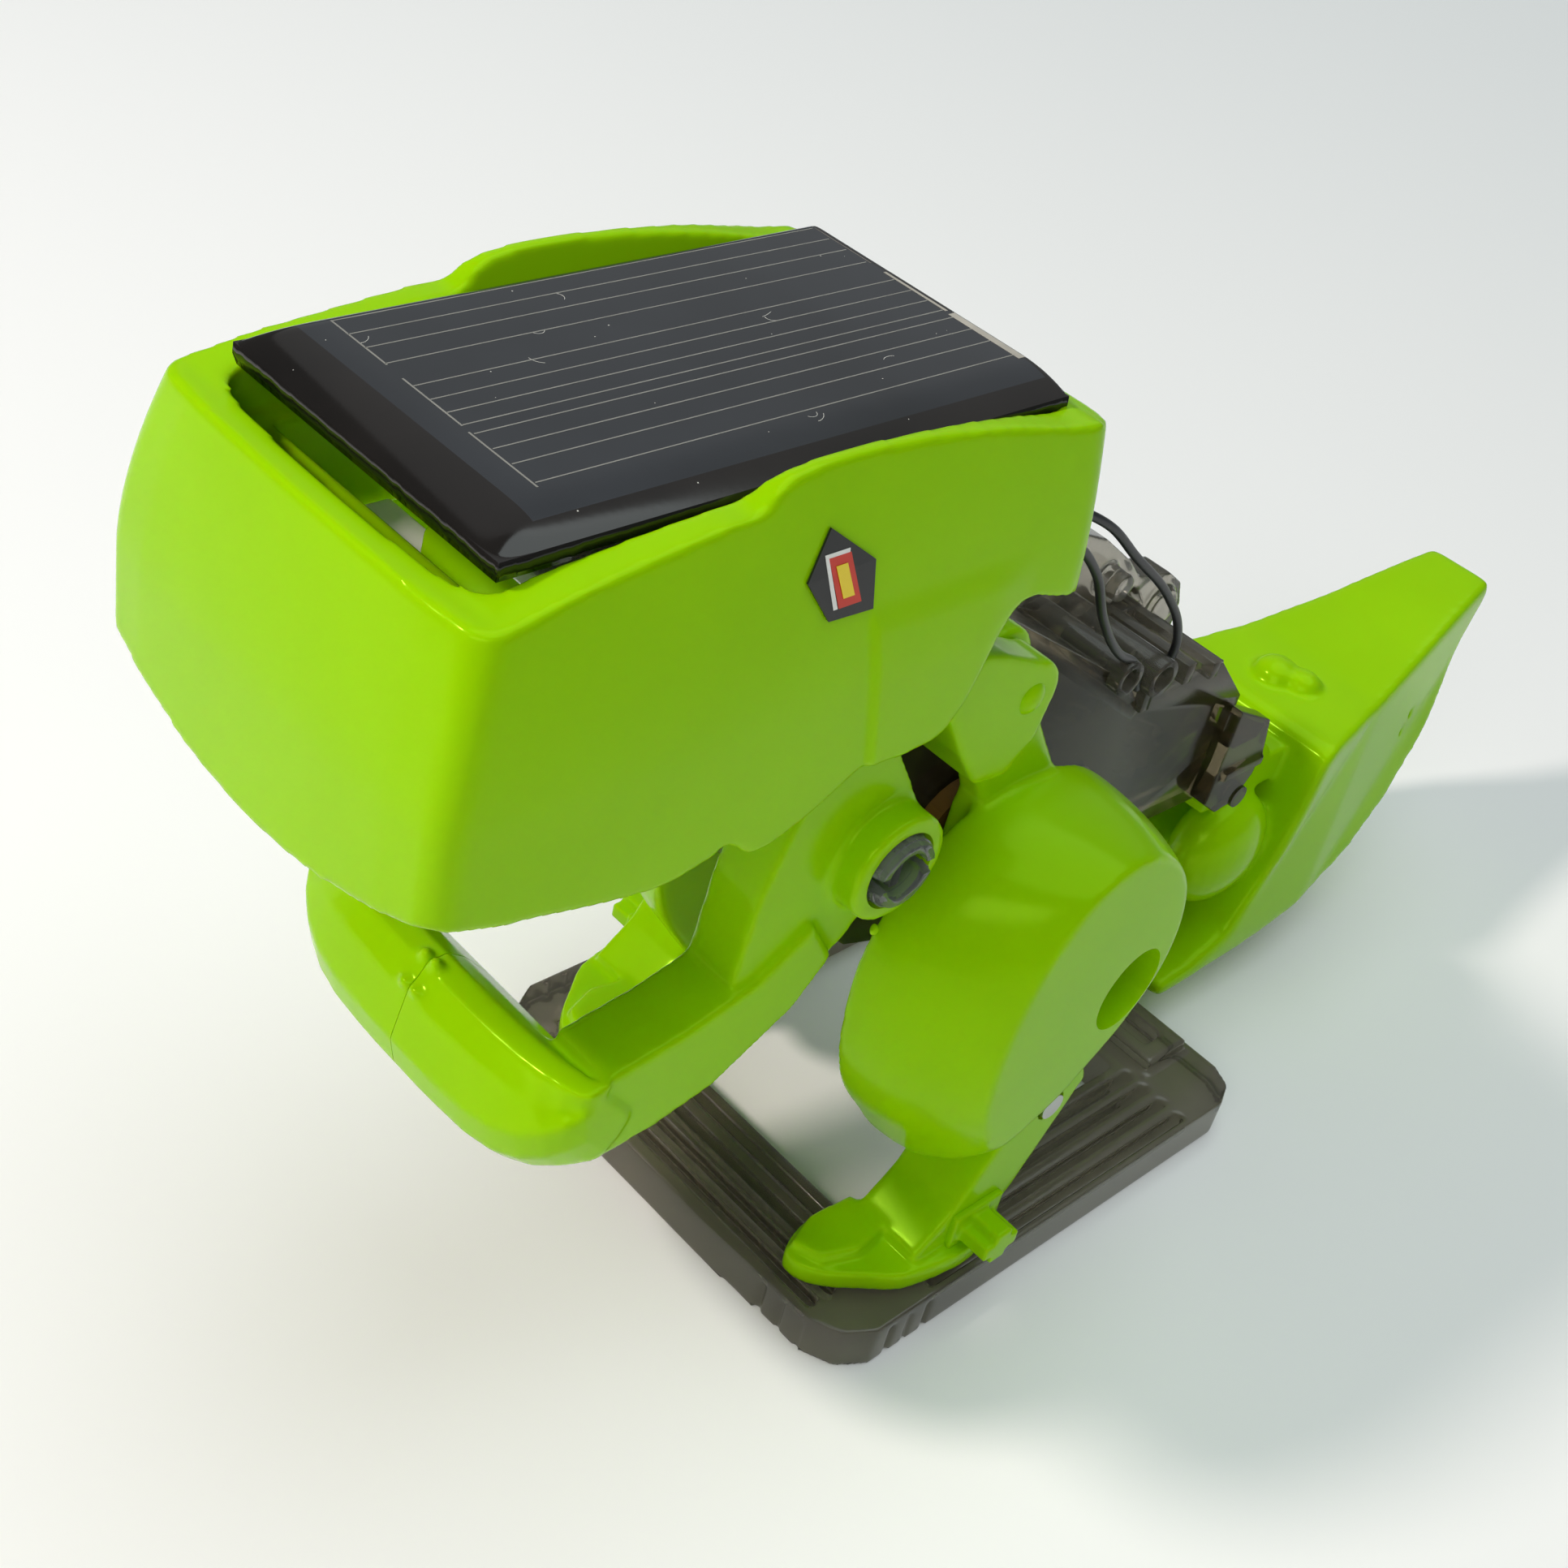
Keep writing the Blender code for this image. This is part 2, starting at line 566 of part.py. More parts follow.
def make_jaw_pin(name, side):
    """The split snap pin that the jaw's ring turns on."""
    low, high = sided(side, BOX_HALF + GAP, 20.4)
    pin = cylinder("jaw_pin_" + name, low, high, JAW, JAW_PIN_R, "X", "smoke", 24, bevel=0.4)
    slot_low, slot_high = sided(side, 14.5, 25)
    cut(pin, cylinder("pin_hollow_" + name, slot_low, slot_high, JAW, 2.3, sides=16))
    low_corner = (slot_low, JAW[0] - 8, JAW[1] - 0.6)
    high_corner = (slot_high, JAW[0] + 8, JAW[1] + 0.6)
    cut(pin, box("pin_slot_" + name, low_corner, high_corner))
    put_origin(pin, JAW)


def slice_at(obj, axis, places):
    """Adds a ring of points to the object at each place along the axis."""
    number = "XYZ".index(axis)
    work = bmesh.new()
    work.from_mesh(obj.data)
    for place in places:
        point = Vector((0.0, 0.0, 0.0))
        point[number] = place * MM
        normal = Vector((0.0, 0.0, 0.0))
        normal[number] = 1.0
        bmesh.ops.bisect_plane(work, geom=work.verts[:] + work.edges[:] + work.faces[:],
                               plane_co=point, plane_no=normal)
    work.to_mesh(obj.data)
    work.free()


def head_side_line():
    """The head's side view: a low front rim, a raised rear rim and an arch over the hip."""
    front = HEAD_FRONT
    return [(front, 97.0), (-67.0, 99.9), (-63.4, 102.3), (-52.0, HEAD_TOP), (-40.0, 101.4), (-32.6, 99.6),
            (HEAD_REAR - 1.4, 97.6), (HEAD_REAR, 85.4), (-31.0, 84.0), (-37.6, 86.0), (-40.2, 82.8),
            (-42.4, 78.0), (-44.8, 75.6), (-51.4, 75.3), (-56.0, 73.2), (-60.2, HEAD_LOW), (-62.4, HEAD_LOW),
            (-65.0, 73.4), (-67.4, 72.4), (-72.0, 72.2), (-82.0, 74.4), (front - HEAD_LEAN, 77.2)]


def head_plan(inset):
    """The head's plan view at its top: a bowed snout, round corners and a straight back."""
    half = HEAD_HALF_TOP - inset
    front = HEAD_FRONT + inset * 0.8
    rear = HEAD_REAR - inset * 0.8
    corner = max(HEAD_CORNER - inset, 1.2)
    right = arc((half - corner, front + corner), corner, 0, -80, 5)
    bow = [(half * t, front - SNOUT_BOW * (1 - 1.25 * t * t)) for t in (0.4, 0.0, -0.4)]
    return [(half, rear)] + right + bow + mirrored(right) + [(-half, rear)]


def head_spread(z):
    """How far the head's walls have spread at a height: 0 at the top, 1 at the foot."""
    return max(0.0, (HEAD_TOP - z) / (HEAD_TOP - HEAD_LOW)) ** HEAD_SWELL


def draft(x, y, z):
    """Widens the head towards its foot and leans its snout forward."""
    down = head_spread(z)
    wide = 1 + (HEAD_HALF_LOW / HEAD_HALF_TOP - 1) * down
    lean = HEAD_LEAN * down * max(0.0, min(1.0, (-60 - y) / 28))
    return (x * wide, y - lean, z)


def make_head():
    """The upper head: one open shell, with a cross rib that carries the panel's bracket."""
    low, high = 60.0, 110.0
    head = plate("head_shell", head_plan(0.0), low, high, "Z", "green")
    slice_at(head, "Z", (76.0, 82.0, 88.0, 94.0, 98.0))
    move_points(head, draft)
    side = plate("head_side", head_side_line(), -30, 30, "X")
    slice_at(side, "X", (-18, -14, -9, -4.5, 0, 4.5, 9, 14, 18))

    def bow_down(x, y, z):
        """Drops the snout's lower edge towards the middle and carries it clear of the snout."""
        if y > -86 or z > 90:
            return (x, y if y > -86 else y - 6, z)
        return (x, y - 6, z + 2.7 - 7.0 * (1 - min(1.0, abs(x) / 19) ** 2))

    move_points(side, bow_down)
    combine(head, side, "INTERSECT")
    hollow = plate("head_hollow", head_plan(HEAD_WALL), low - 2, high + 2, "Z")
    slice_at(hollow, "Z", (76.0, 82.0, 88.0, 94.0, 98.0))
    move_points(hollow, draft)
    cut(head, hollow)
    rib = box("head_rib", (-17.0, -50.0, 88.0), (17.0, -47.6, 93.4))
    post = cylinder("head_post", 84.0, 93.4, (0, -76.0), 3.0, "Z", sides=16)
    ledge = box("head_ledge", (-17.5, -77.2, 84.0), (17.5, -74.8, 88.0))
    join(head, rib, ledge, post)


def make_panel():
    """Solar panel, its bracket, and the pad between them."""
    rear = PANEL_FRONT + PANEL_LENGTH
    low = PANEL_TOP - PANEL_THICK
    panel = box("solar_panel", (-PANEL_HALF, PANEL_FRONT, low), (PANEL_HALF, rear, PANEL_TOP), "panel")
    add_bevel(panel, 0.5, 2)
    bracket = box("panel_bracket", (-12.0, -79.0, 93.7), (12.0, rear - 2, 95.4), "white", 0.3)
    cut(bracket, box("bracket_window", (-7, -72, 90), (7, -54, 98)))
    box("panel_pad", (-11.0, -50.0, 95.4 + GAP), (11.0, -38.0, low - GAP), "white")
    screw = cylinder("bracket_screw", 89.5, 93.4, (0, -60.0), 1.0, "Z", "steel", 12)
    join(screw, cylinder("bracket_screw_head", 88.7, 89.7, (0, -60.0), 1.9, "Z", sides=16))


def make_eye(name, side):
    """A five-sided eye sticker, laid on the head's sloping side."""
    corners = [(-59.2, 97.8), (-54.4, 94.3), (-54.2, 90.2), (-58.8, 90.6), (-61.0, 94.0)]
    face = HEAD_HALF_TOP + GAP
    growth = HEAD_HALF_LOW - HEAD_HALF_TOP
    sticker = plate("eye_" + name, corners, face, face + 0.3, "X", "black")
    move_points(sticker, lambda x, y, z: (side * (x + growth * head_spread(z)), y, z))
    if side < 0:
        sticker.data.flip_normals()


TAIL_SIDE = [(27.2, 5.2), (47.0, 6.0), (56.0, 7.4), (66.0, 10.4), (75.0, 15.4), (83.0, 23.6), (89.0, 34.4),
             (92.4, 39.4), (90.8, 42.2), (72.0, 38.2), (60.0, 36.0), (47.0, 35.2), (45.6, 34.4),
             (44.6, 20.0), (39.0, 11.0), (27.2, 7.4)]


def make_tail():
    """The hollow tail: wide at its crease, blunt at its tip, open underneath."""
    half = 13.0
    tail = plate("tail_shell", TAIL_SIDE, -half, half, "X", "green")

    def taper(x, y, z):
        """Narrows the tail towards its tip, its top edges sooner than its belly."""
        back = max(0.0, (y - 47.0) / 44.0)
        loss = 0.66 * back ** 0.9 if z > 34.0 else 0.56 * back ** 2
        return (x * (1 - loss), y, z)

    move_points(tail, taper)
    add_bevel(tail, 1.2, 2)
    knuckle = cylinder("tail_knuckle", -7.6, 7.6, (38.0, 31.0), 5.0, sides=20)
    arm = box("tail_arm", (-7.6, 31.0, 28.2), (7.6, 46.0, 33.4))
    lug = cylinder("tail_lug", -7.6, 7.6, TAIL, 3.2, sides=20)
    join(tail, knuckle, arm, lug)
    cut(tail, cylinder("tail_bore", -20, 20, TAIL, 1.7, sides=16))
    hollow = plate("tail_hollow", [(42.0, 2.0), (56.0, 4.0), (66.0, 8.0), (74.0, 17.0), (80.0, 28.0),
                                   (76.0, 33.8), (50.0, 31.0), (48.0, 20.0), (45.0, 10.0)], -9.5, 9.5, "X")
    move_points(hollow, taper)
    cut(tail, hollow)
    put_origin(tail, TAIL)
    pin = cylinder("tail_pin", -10.4, 10.4, TAIL, 1.4, "X", "steel", 16)
    put_origin(pin, TAIL)


def make_tail_hinge():
    """Two cheeks bolted behind the gearbox that hold the tail's pin."""
    line = [(29.3, 34.0), (29.3, 42.0), (33.0, 40.5)] + arc(TAIL, 3.8, 60, -90, 8) + [(29.3, 29.2)]
    for name, side in SIDES.items():
        low, high = sided(side, 7.6 + GAP, 10.2)
        cheek = plate("tail_cheek_" + name, line, low, high, "X", "smoke")
        cut(cheek, cylinder("cheek_bore_" + name, low - 1, high + 1, TAIL, 1.7, sides=16))


def wire(name, knots):
    """A thin lead along a smooth curve through its knots."""
    samples = []
    points = [Vector(knot) for knot in knots]
    padded = [2 * points[0] - points[1]] + points + [2 * points[-1] - points[-2]]
    for i in range(1, len(padded) - 2):
        a, b, c, d = padded[i - 1:i + 3]
        for k in range(4):
            t = k / 4
            samples.append(0.5 * (2 * b + (c - a) * t + (2 * a - 5 * b + 4 * c - d) * t ** 2
                                  + (3 * b - a - 3 * c + d) * t ** 3))
    samples.append(points[-1])
    curve = bpy.data.curves.new(name, "CURVE")
    curve.dimensions = "3D"
    curve.bevel_depth = 0.45 * MM
    curve.bevel_resolution = 1
    curve.use_fill_caps = True
    spline = curve.splines.new("POLY")
    spline.points.add(len(samples) - 1)
    for point, sample in zip(spline.points, samples):
        point.co = (*(sample * MM), 1)
    obj = bpy.data.objects.new(name, curve)
    curve.materials.append(MATERIALS["black"])
    KIT.objects.link(obj)


WIRE_A = [(2.0, -37.0, 91.5), (2.2, -35.0, 85.5), (2.8, -30.0, 81.6), (4.0, -22.0, 80.6), (5.4, -12.0, 78.4),
          (6.6, -3.0, 73.6), (7.2, 5.0, 68.0), (7.4, 9.6, 63.6), (7.2, 9.8, 61.4)]
WIRE_B = [(9.0, -37.0, 91.5), (9.2, -35.0, 85.5), (9.4, -29.5, 80.6), (9.6, -21.0, 78.6), (9.6, -14.0, 75.0),
          (9.4, -9.0, 69.5), (9.0, -4.0, 66.6), (8.6, -0.2, 65.0)]


make_base()
for side_name, side_sign in SIDES.items():
    make_foot("foot_" + side_name, side_sign)
    make_thigh("thigh_" + side_name, side_sign)
    make_leg_pins(side_name, side_sign)
    make_jaw(side_name, side_sign)
    make_jaw_pin(side_name, side_sign)
    make_eye(side_name, side_sign)
make_hip_bracket()
make_gearbox()
make_motor()
make_train()
make_screws()
make_head()
make_panel()
make_tail()
make_tail_hinge()
wire("wire_a", WIRE_A)
wire("wire_b", WIRE_B)
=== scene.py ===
import math
import random

import bmesh
import bpy
from mathutils import Matrix, Vector


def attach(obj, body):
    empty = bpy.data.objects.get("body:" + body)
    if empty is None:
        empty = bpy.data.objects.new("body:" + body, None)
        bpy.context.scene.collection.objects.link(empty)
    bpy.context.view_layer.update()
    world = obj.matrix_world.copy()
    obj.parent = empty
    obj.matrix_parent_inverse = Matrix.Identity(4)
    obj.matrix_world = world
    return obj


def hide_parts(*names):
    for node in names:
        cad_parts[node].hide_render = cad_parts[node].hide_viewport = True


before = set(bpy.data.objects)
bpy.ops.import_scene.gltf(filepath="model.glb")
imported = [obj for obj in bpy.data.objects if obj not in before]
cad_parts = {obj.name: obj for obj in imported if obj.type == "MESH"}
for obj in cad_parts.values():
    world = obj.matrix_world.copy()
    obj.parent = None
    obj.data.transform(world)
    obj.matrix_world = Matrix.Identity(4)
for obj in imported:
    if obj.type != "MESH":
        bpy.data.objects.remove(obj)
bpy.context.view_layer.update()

MM = 0.001
SIDES = {"left": 1, "right": -1}
random.seed(7)

# Joint axes, all along X, as (y, z) in millimetres, as in the record.
KNEE = (-13.5, 22.0)
HIP = (-28.0, 72.6)
JAW = (-43.0, 61.6)
TAIL = (32.0, 33.0)


# ---------------------------------------------------------------- meshes

def new_object(name, points, faces):
    """A mesh object from points in millimetres."""
    mesh = bpy.data.meshes.new(name)
    mesh.from_pydata([Vector(p) * MM for p in points], [], faces)
    work = bmesh.new()
    work.from_mesh(mesh)
    bmesh.ops.recalc_face_normals(work, faces=work.faces[:])
    work.to_mesh(mesh)
    work.free()
    obj = bpy.data.objects.new(name, mesh)
    bpy.context.scene.collection.objects.link(obj)
    return obj


def loft(name, sections):
    """A closed body through sections that all have the same number of points (x, y, z)."""
    count = len(sections[0])
    points = [p for section in sections for p in section]
    faces = []
    for i in range(len(sections) - 1):
        for k in range(count):
            a, b = i * count + k, i * count + (k + 1) % count
            faces.append((a, b, b + count, a + count))
    last = (len(sections) - 1) * count
    faces.append(tuple(range(count)))
    faces.append(tuple(range(last, last + count)))
    return new_object(name, points, faces)


def placed(axis, level, outline):
    """Outline points at a level along an axis: (y, z) for X, (x, z) for Y, (x, y) for Z."""
    if axis == "X":
        return [(level, a, b) for a, b in outline]
    if axis == "Y":
        return [(a, level, b) for a, b in outline]
    return [(a, b, level) for a, b in outline]


def plate(name, outline, low, high, axis="X"):
    return loft(name, [placed(axis, low, outline), placed(axis, high, outline)])


def circle(centre, radius, sides=40):
    step = 2 * math.pi / sides
    return [(centre[0] + radius * math.cos(i * step), centre[1] + radius * math.sin(i * step))
            for i in range(sides)]


def drum(name, low, high, centre, radius, axis="X", sides=40, end=None):
    """A cylinder, or a cone when the end radius differs."""
    far = radius if end is None else end
    return loft(name, [placed(axis, low, circle(centre, radius, sides)),
                       placed(axis, high, circle(centre, far, sides))])


def slab(name, low, high):
    outline = [(low[1], low[2]), (high[1], low[2]), (high[1], high[2]), (low[1], high[2])]
    return plate(name, outline, low[0], high[0])


def ball(name, centre, radii):
    """A stretched sphere."""
    mesh = bpy.data.meshes.new(name)
    work = bmesh.new()
    bmesh.ops.create_uvsphere(work, u_segments=24, v_segments=14, radius=1.0)
    for v in work.verts:
        v.co = Vector([(v.co[i] * radii[i] + centre[i]) * MM for i in range(3)])
    work.to_mesh(mesh)
    work.free()
    obj = bpy.data.objects.new(name, mesh)
    bpy.context.scene.collection.objects.link(obj)
    return obj


def sided(side, low, high):
    return (low, high) if side > 0 else (-high, -low)


def arc(centre, radius, start, end, steps):
    out = []
    for i in range(steps + 1):
        a = math.radians(start + (end - start) * i / steps)
        out.append((centre[0] + radius * math.cos(a), centre[1] + radius * math.sin(a)))
    return out


def curve_through(points, parts=5):
    """A smooth closed outline through the points."""
    count = len(points)
    out = []
    for i in range(count):
        a, b, c, d = (Vector(points[(i + k) % count]) for k in (-1, 0, 1, 2))
        for k in range(parts):
            t = k / parts
            out.append(tuple(0.5 * (2 * b + (c - a) * t + (2 * a - 5 * b + 4 * c - d) * t * t
                                    + (3 * b - a - 3 * c + d) * t ** 3)))
    return out


def bake(obj):
    """Turns the modifiers into mesh."""
    graph = bpy.context.evaluated_depsgraph_get()
    mesh = bpy.data.meshes.new_from_object(obj.evaluated_get(graph))
    obj.modifiers.clear()
    old = obj.data
    obj.data = mesh
    bpy.data.meshes.remove(old)
    return obj


def merge(obj, *others):
    """Puts the other meshes into obj; a remesh afterwards makes them one skin."""
    work = bmesh.new()
    for source in (obj, *others):
        work.from_mesh(source.data)
    work.to_mesh(obj.data)
    work.free()
    for other in others:
        bpy.data.objects.remove(other, do_unlink=True)
    return obj


def boolean(obj, operation, *tools):
    for tool in tools:
        step = obj.modifiers.new("step", "BOOLEAN")
        step.solver = "EXACT"
        step.operation = operation
        step.object = tool
    bake(obj)
    for tool in tools:
        bpy.data.objects.remove(tool, do_unlink=True)
    return obj


def cut(obj, *tools):
    return boolean(obj, "DIFFERENCE", *tools)


def unite(obj, *tools):
    return boolean(obj, "UNION", *tools)


def soften(obj, voxel=0.36, rounds=8, factor=0.5):
    """One even skin over everything in the mesh, with moulded-looking edges and corners."""
    step = obj.modifiers.new("skin", "REMESH")
    step.mode = "VOXEL"
    step.voxel_size = voxel * MM
    step = obj.modifiers.new("soft", "SMOOTH")
    step.factor = factor
    step.iterations = rounds
    bake(obj)
    obj.data.polygons.foreach_set("use_smooth", [True] * len(obj.data.polygons))
    return obj


def rounded_edges(obj, width, segments=2, angle=35):
    step = obj.modifiers.new("edge", "BEVEL")
    step.width = width * MM
    step.segments = segments
    step.limit_method = "ANGLE"
    step.angle_limit = math.radians(angle)
    step.harden_normals = False
    bake(obj)
    obj.data.polygons.foreach_set("use_smooth", [True] * len(obj.data.polygons))
    return obj


def move(obj, rule):
    """Moves every point by a rule in millimetres."""
    for v in obj.data.vertices:
        v.co = Vector(rule(*(v.co / MM))) * MM
    obj.data.update()
    return obj


def smoothstep(low, high, value):
    t = max(0.0, min(1.0, (value - low) / (high - low)))
    return t * t * (3 - 2 * t)


def dress(obj, material, body, slot, *nodes):
    """Material, body, a record slot that is not used, and the CAD nodes that the piece stands for.
    """
    obj.data.materials.clear()
    obj.data.materials.append(material)
    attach(obj, body)
    if nodes:
        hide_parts(*nodes)
    return obj


# ---------------------------------------------------------------- materials

def material(name, colour, rough, spread=0.05, patch=60.0, grain=1800.0, bump=0.15, **sockets):
    """A Principled finish whose colour and roughness drift, with a fine moulded grain."""
    made = bpy.data.materials.new(name)
    made.use_nodes = True
    tree = made.node_tree
    shader = tree.nodes["Principled BSDF"]
    place = tree.nodes.new("ShaderNodeTexCoord")
    patches = tree.nodes.new("ShaderNodeTexNoise")
    patches.inputs["Scale"].default_value = patch
    patches.inputs["Detail"].default_value = 4.0
    tree.links.new(place.outputs["Object"], patches.inputs["Vector"])
    ramp = tree.nodes.new("ShaderNodeValToRGB")
    ramp.color_ramp.elements[0].position = 0.3
    ramp.color_ramp.elements[1].position = 0.7
    ramp.color_ramp.elements[0].color = (*[c * (1 - spread) for c in colour], 1)
    ramp.color_ramp.elements[1].color = (*[min(1, c * (1 + spread)) for c in colour], 1)
    tree.links.new(patches.outputs["Fac"], ramp.inputs["Fac"])
    tree.links.new(ramp.outputs["Color"], shader.inputs["Base Color"])
    span = tree.nodes.new("ShaderNodeMapRange")
    span.inputs["To Min"].default_value = max(0.02, rough - 0.05)
    span.inputs["To Max"].default_value = rough + 0.05
    tree.links.new(patches.outputs["Fac"], span.inputs["Value"])
    tree.links.new(span.outputs["Result"], shader.inputs["Roughness"])
    fine = tree.nodes.new("ShaderNodeTexNoise")
    fine.inputs["Scale"].default_value = grain
    fine.inputs["Detail"].default_value = 3.0
    tree.links.new(place.outputs["Object"], fine.inputs["Vector"])
    relief = tree.nodes.new("ShaderNodeBump")
    relief.inputs["Strength"].default_value = bump
    relief.inputs["Distance"].default_value = 0.00004
    tree.links.new(fine.outputs["Fac"], relief.inputs["Height"])
    tree.links.new(relief.outputs["Normal"], shader.inputs["Normal"])
    for socket, value in sockets.items():
        shader.inputs[socket.replace("_", " ")].default_value = value
    return made


GREEN = material("green_plastic", (0.285, 0.60, 0.0003), 0.19, spread=0.03, bump=0.06,
                 Subsurface_Weight=0.2, Subsurface_Scale=0.002, Specular_IOR_Level=0.12,
                 Metallic=0.04, Specular_Tint=(0.75, 1.0, 0.25, 1))
SMOKE = material("smoke_plastic", (0.25, 0.225, 0.165), 0.18, spread=0.10, patch=120.0, bump=0.12,
                 Transmission_Weight=0.86, IOR=1.46)
BOX_SMOKE = material("gearbox_plastic", (0.17, 0.14, 0.085), 0.14, spread=0.12, patch=120.0,
                     bump=0.08, Transmission_Weight=0.90, IOR=1.20, Specular_IOR_Level=0.3)
# Paler smoke: the motor housing's colour, and painted light on the gearbox shell's upper faces.
PALE_SMOKE = material("pale_smoke_plastic", (0.40, 0.375, 0.32), 0.14, spread=0.10, patch=120.0,
                      bump=0.08, Transmission_Weight=0.86, IOR=1.36, Specular_IOR_Level=0.4)
CLEAR = material("pin_plastic", (0.62, 0.66, 0.60), 0.08, spread=0.05, bump=0.05,
                 Transmission_Weight=0.85, IOR=1.48)
AMBER = material("brown_disc", (0.20, 0.10, 0.02), 0.35, spread=0.15)
STEEL = material("steel", (0.55, 0.54, 0.52), 0.32, spread=0.08, patch=300.0, Metallic=1.0)
WHITE = material("white_plastic", (0.82, 0.82, 0.78), 0.30, spread=0.03, Coat_Weight=0.3)
BLACK = material("wire_vinyl", (0.015, 0.015, 0.018), 0.38, spread=0.2, bump=0.3)
INK = material("sticker_black", (0.008, 0.008, 0.008), 0.30, spread=0.2)
RED = material("sticker_red", (0.62, 0.03, 0.01), 0.35, spread=0.05)
YELLOW = material("sticker_yellow", (0.88, 0.66, 0.02), 0.35, spread=0.05)
EPOXY = material("epoxy", (0.010, 0.008, 0.007), 0.10, spread=0.3, patch=90.0, bump=0.03, IOR=1.5)
CELL = material("solar_cell", (0.020, 0.023, 0.028), 0.12, spread=0.25, patch=50.0, grain=3500.0,
                bump=0.03, IOR=1.52)
LINES = material("cell_lines", (0.24, 0.24, 0.22), 0.30, spread=0.12, patch=400.0)
BUS = material("cell_contacts", (0.42, 0.40, 0.35), 0.40, spread=0.15, patch=500.0)
DUST = material("dust", (0.62, 0.62, 0.58), 0.8, spread=0.1)


# ---------------------------------------------------------------- head

HEAD_TOP = 102.6
HEAD_LOW = 71.6
HEAD_FRONT = -87.0
HEAD_REAR = -28.8
HEAD_HALF = 16.9    # half the head's width at its top
HEAD_FLARE = 3.1    # what each side gains lower down
EYE_HALF = 16.95    # the eye sticker's back, just proud of the skin


def spread_at(z):
    t = min(1.0, max(0.0, (HEAD_TOP - z) / (HEAD_TOP - HEAD_LOW)) / 0.62)
    return 1 - (1 - t) ** 1.7


def head_ring(z, side_in, front_in, rear_in, corner=2.4):
    """The head's plan outline at a height, moved in by a distance on each wall."""
    spread = spread_at(z)
    half = HEAD_HALF + HEAD_FLARE * spread - side_in
    front = HEAD_FRONT + 0.2 - 4.5 * spread + front_in
    rear = HEAD_REAR - rear_in
    corner = max(0.8, corner)
    right = []
    for i in range(9):
        a = math.radians(-85 * i / 8)
        right.append((half - corner + corner * math.cos(a), front + corner + corner * math.sin(a)))
    bow = []
    for i in range(11):
        t = 1 - i / 5
        bow.append((half * t * 0.72, front - 0.7 * (1 - (0.72 * t) ** 2)))
    left = [(-x, y) for x, y in reversed(right)]
    back = []
    for i in range(7):
        a = math.radians(90 * i / 6)
        back.append((half - 3.2 + 3.2 * math.cos(a), rear - 3.2 + 3.2 * math.sin(a)))
    far = [(-x, y) for x, y in reversed(back)]
    return list(reversed(back)) + right + bow + left + list(reversed(far))


def head_prism(name, low, high, levels, side_in, front_in, rear_in, corner=2.4):
    rings = []
    for i in range(levels + 1):
        z = low + (high - low) * i / levels
        rings.append(placed("Z", z, head_ring(z, side_in, front_in, rear_in, corner)))
    return loft(name, rings)


def head_side(x):
    """The side outline of the head at a distance x from its middle."""
    dip = 1 - min(1.0, abs(x) / 19.5) ** 2
    front_low = 78.9 - 6.0 * dip
    mid_low = 74.4 - 1.2 * dip
    rough = [(-97.0, 96.4), (-87.0, 97.5), (-80.0, 98.7), (-70.0, 99.8), (-66.4, 100.0),
             (-64.8, 101.1), (-62.8, 101.9), (-58.0, 102.2), (-50.0, 101.8), (-42.0, 100.8),
             (-34.6, 99.4), (-30.6, 98.8), (-27.0, 96.8), (-27.0, 88.0), (-28.6, 85.5),
             (-29.8, 84.7), (-33.0, 85.3), (-36.0, 86.2), (-38.2, 86.0), (-39.8, 84.0),
             (-41.0, 80.6), (-42.2, 77.8), (-44.0, 75.9), (-47.6, 75.5), (-51.6, 75.6),
             (-53.6, 74.6), (-56.4, 73.0), (-60.0, 71.6), (-62.2, 71.5), (-64.0, 72.9),
             (-65.4, 73.4), (-67.4, 72.6), (-72.0, 72.2), (-82.2, mid_low), (-97.0, front_low)]
    return [rough[0]] + curve_through(rough)[4:-8] + [rough[-1]]


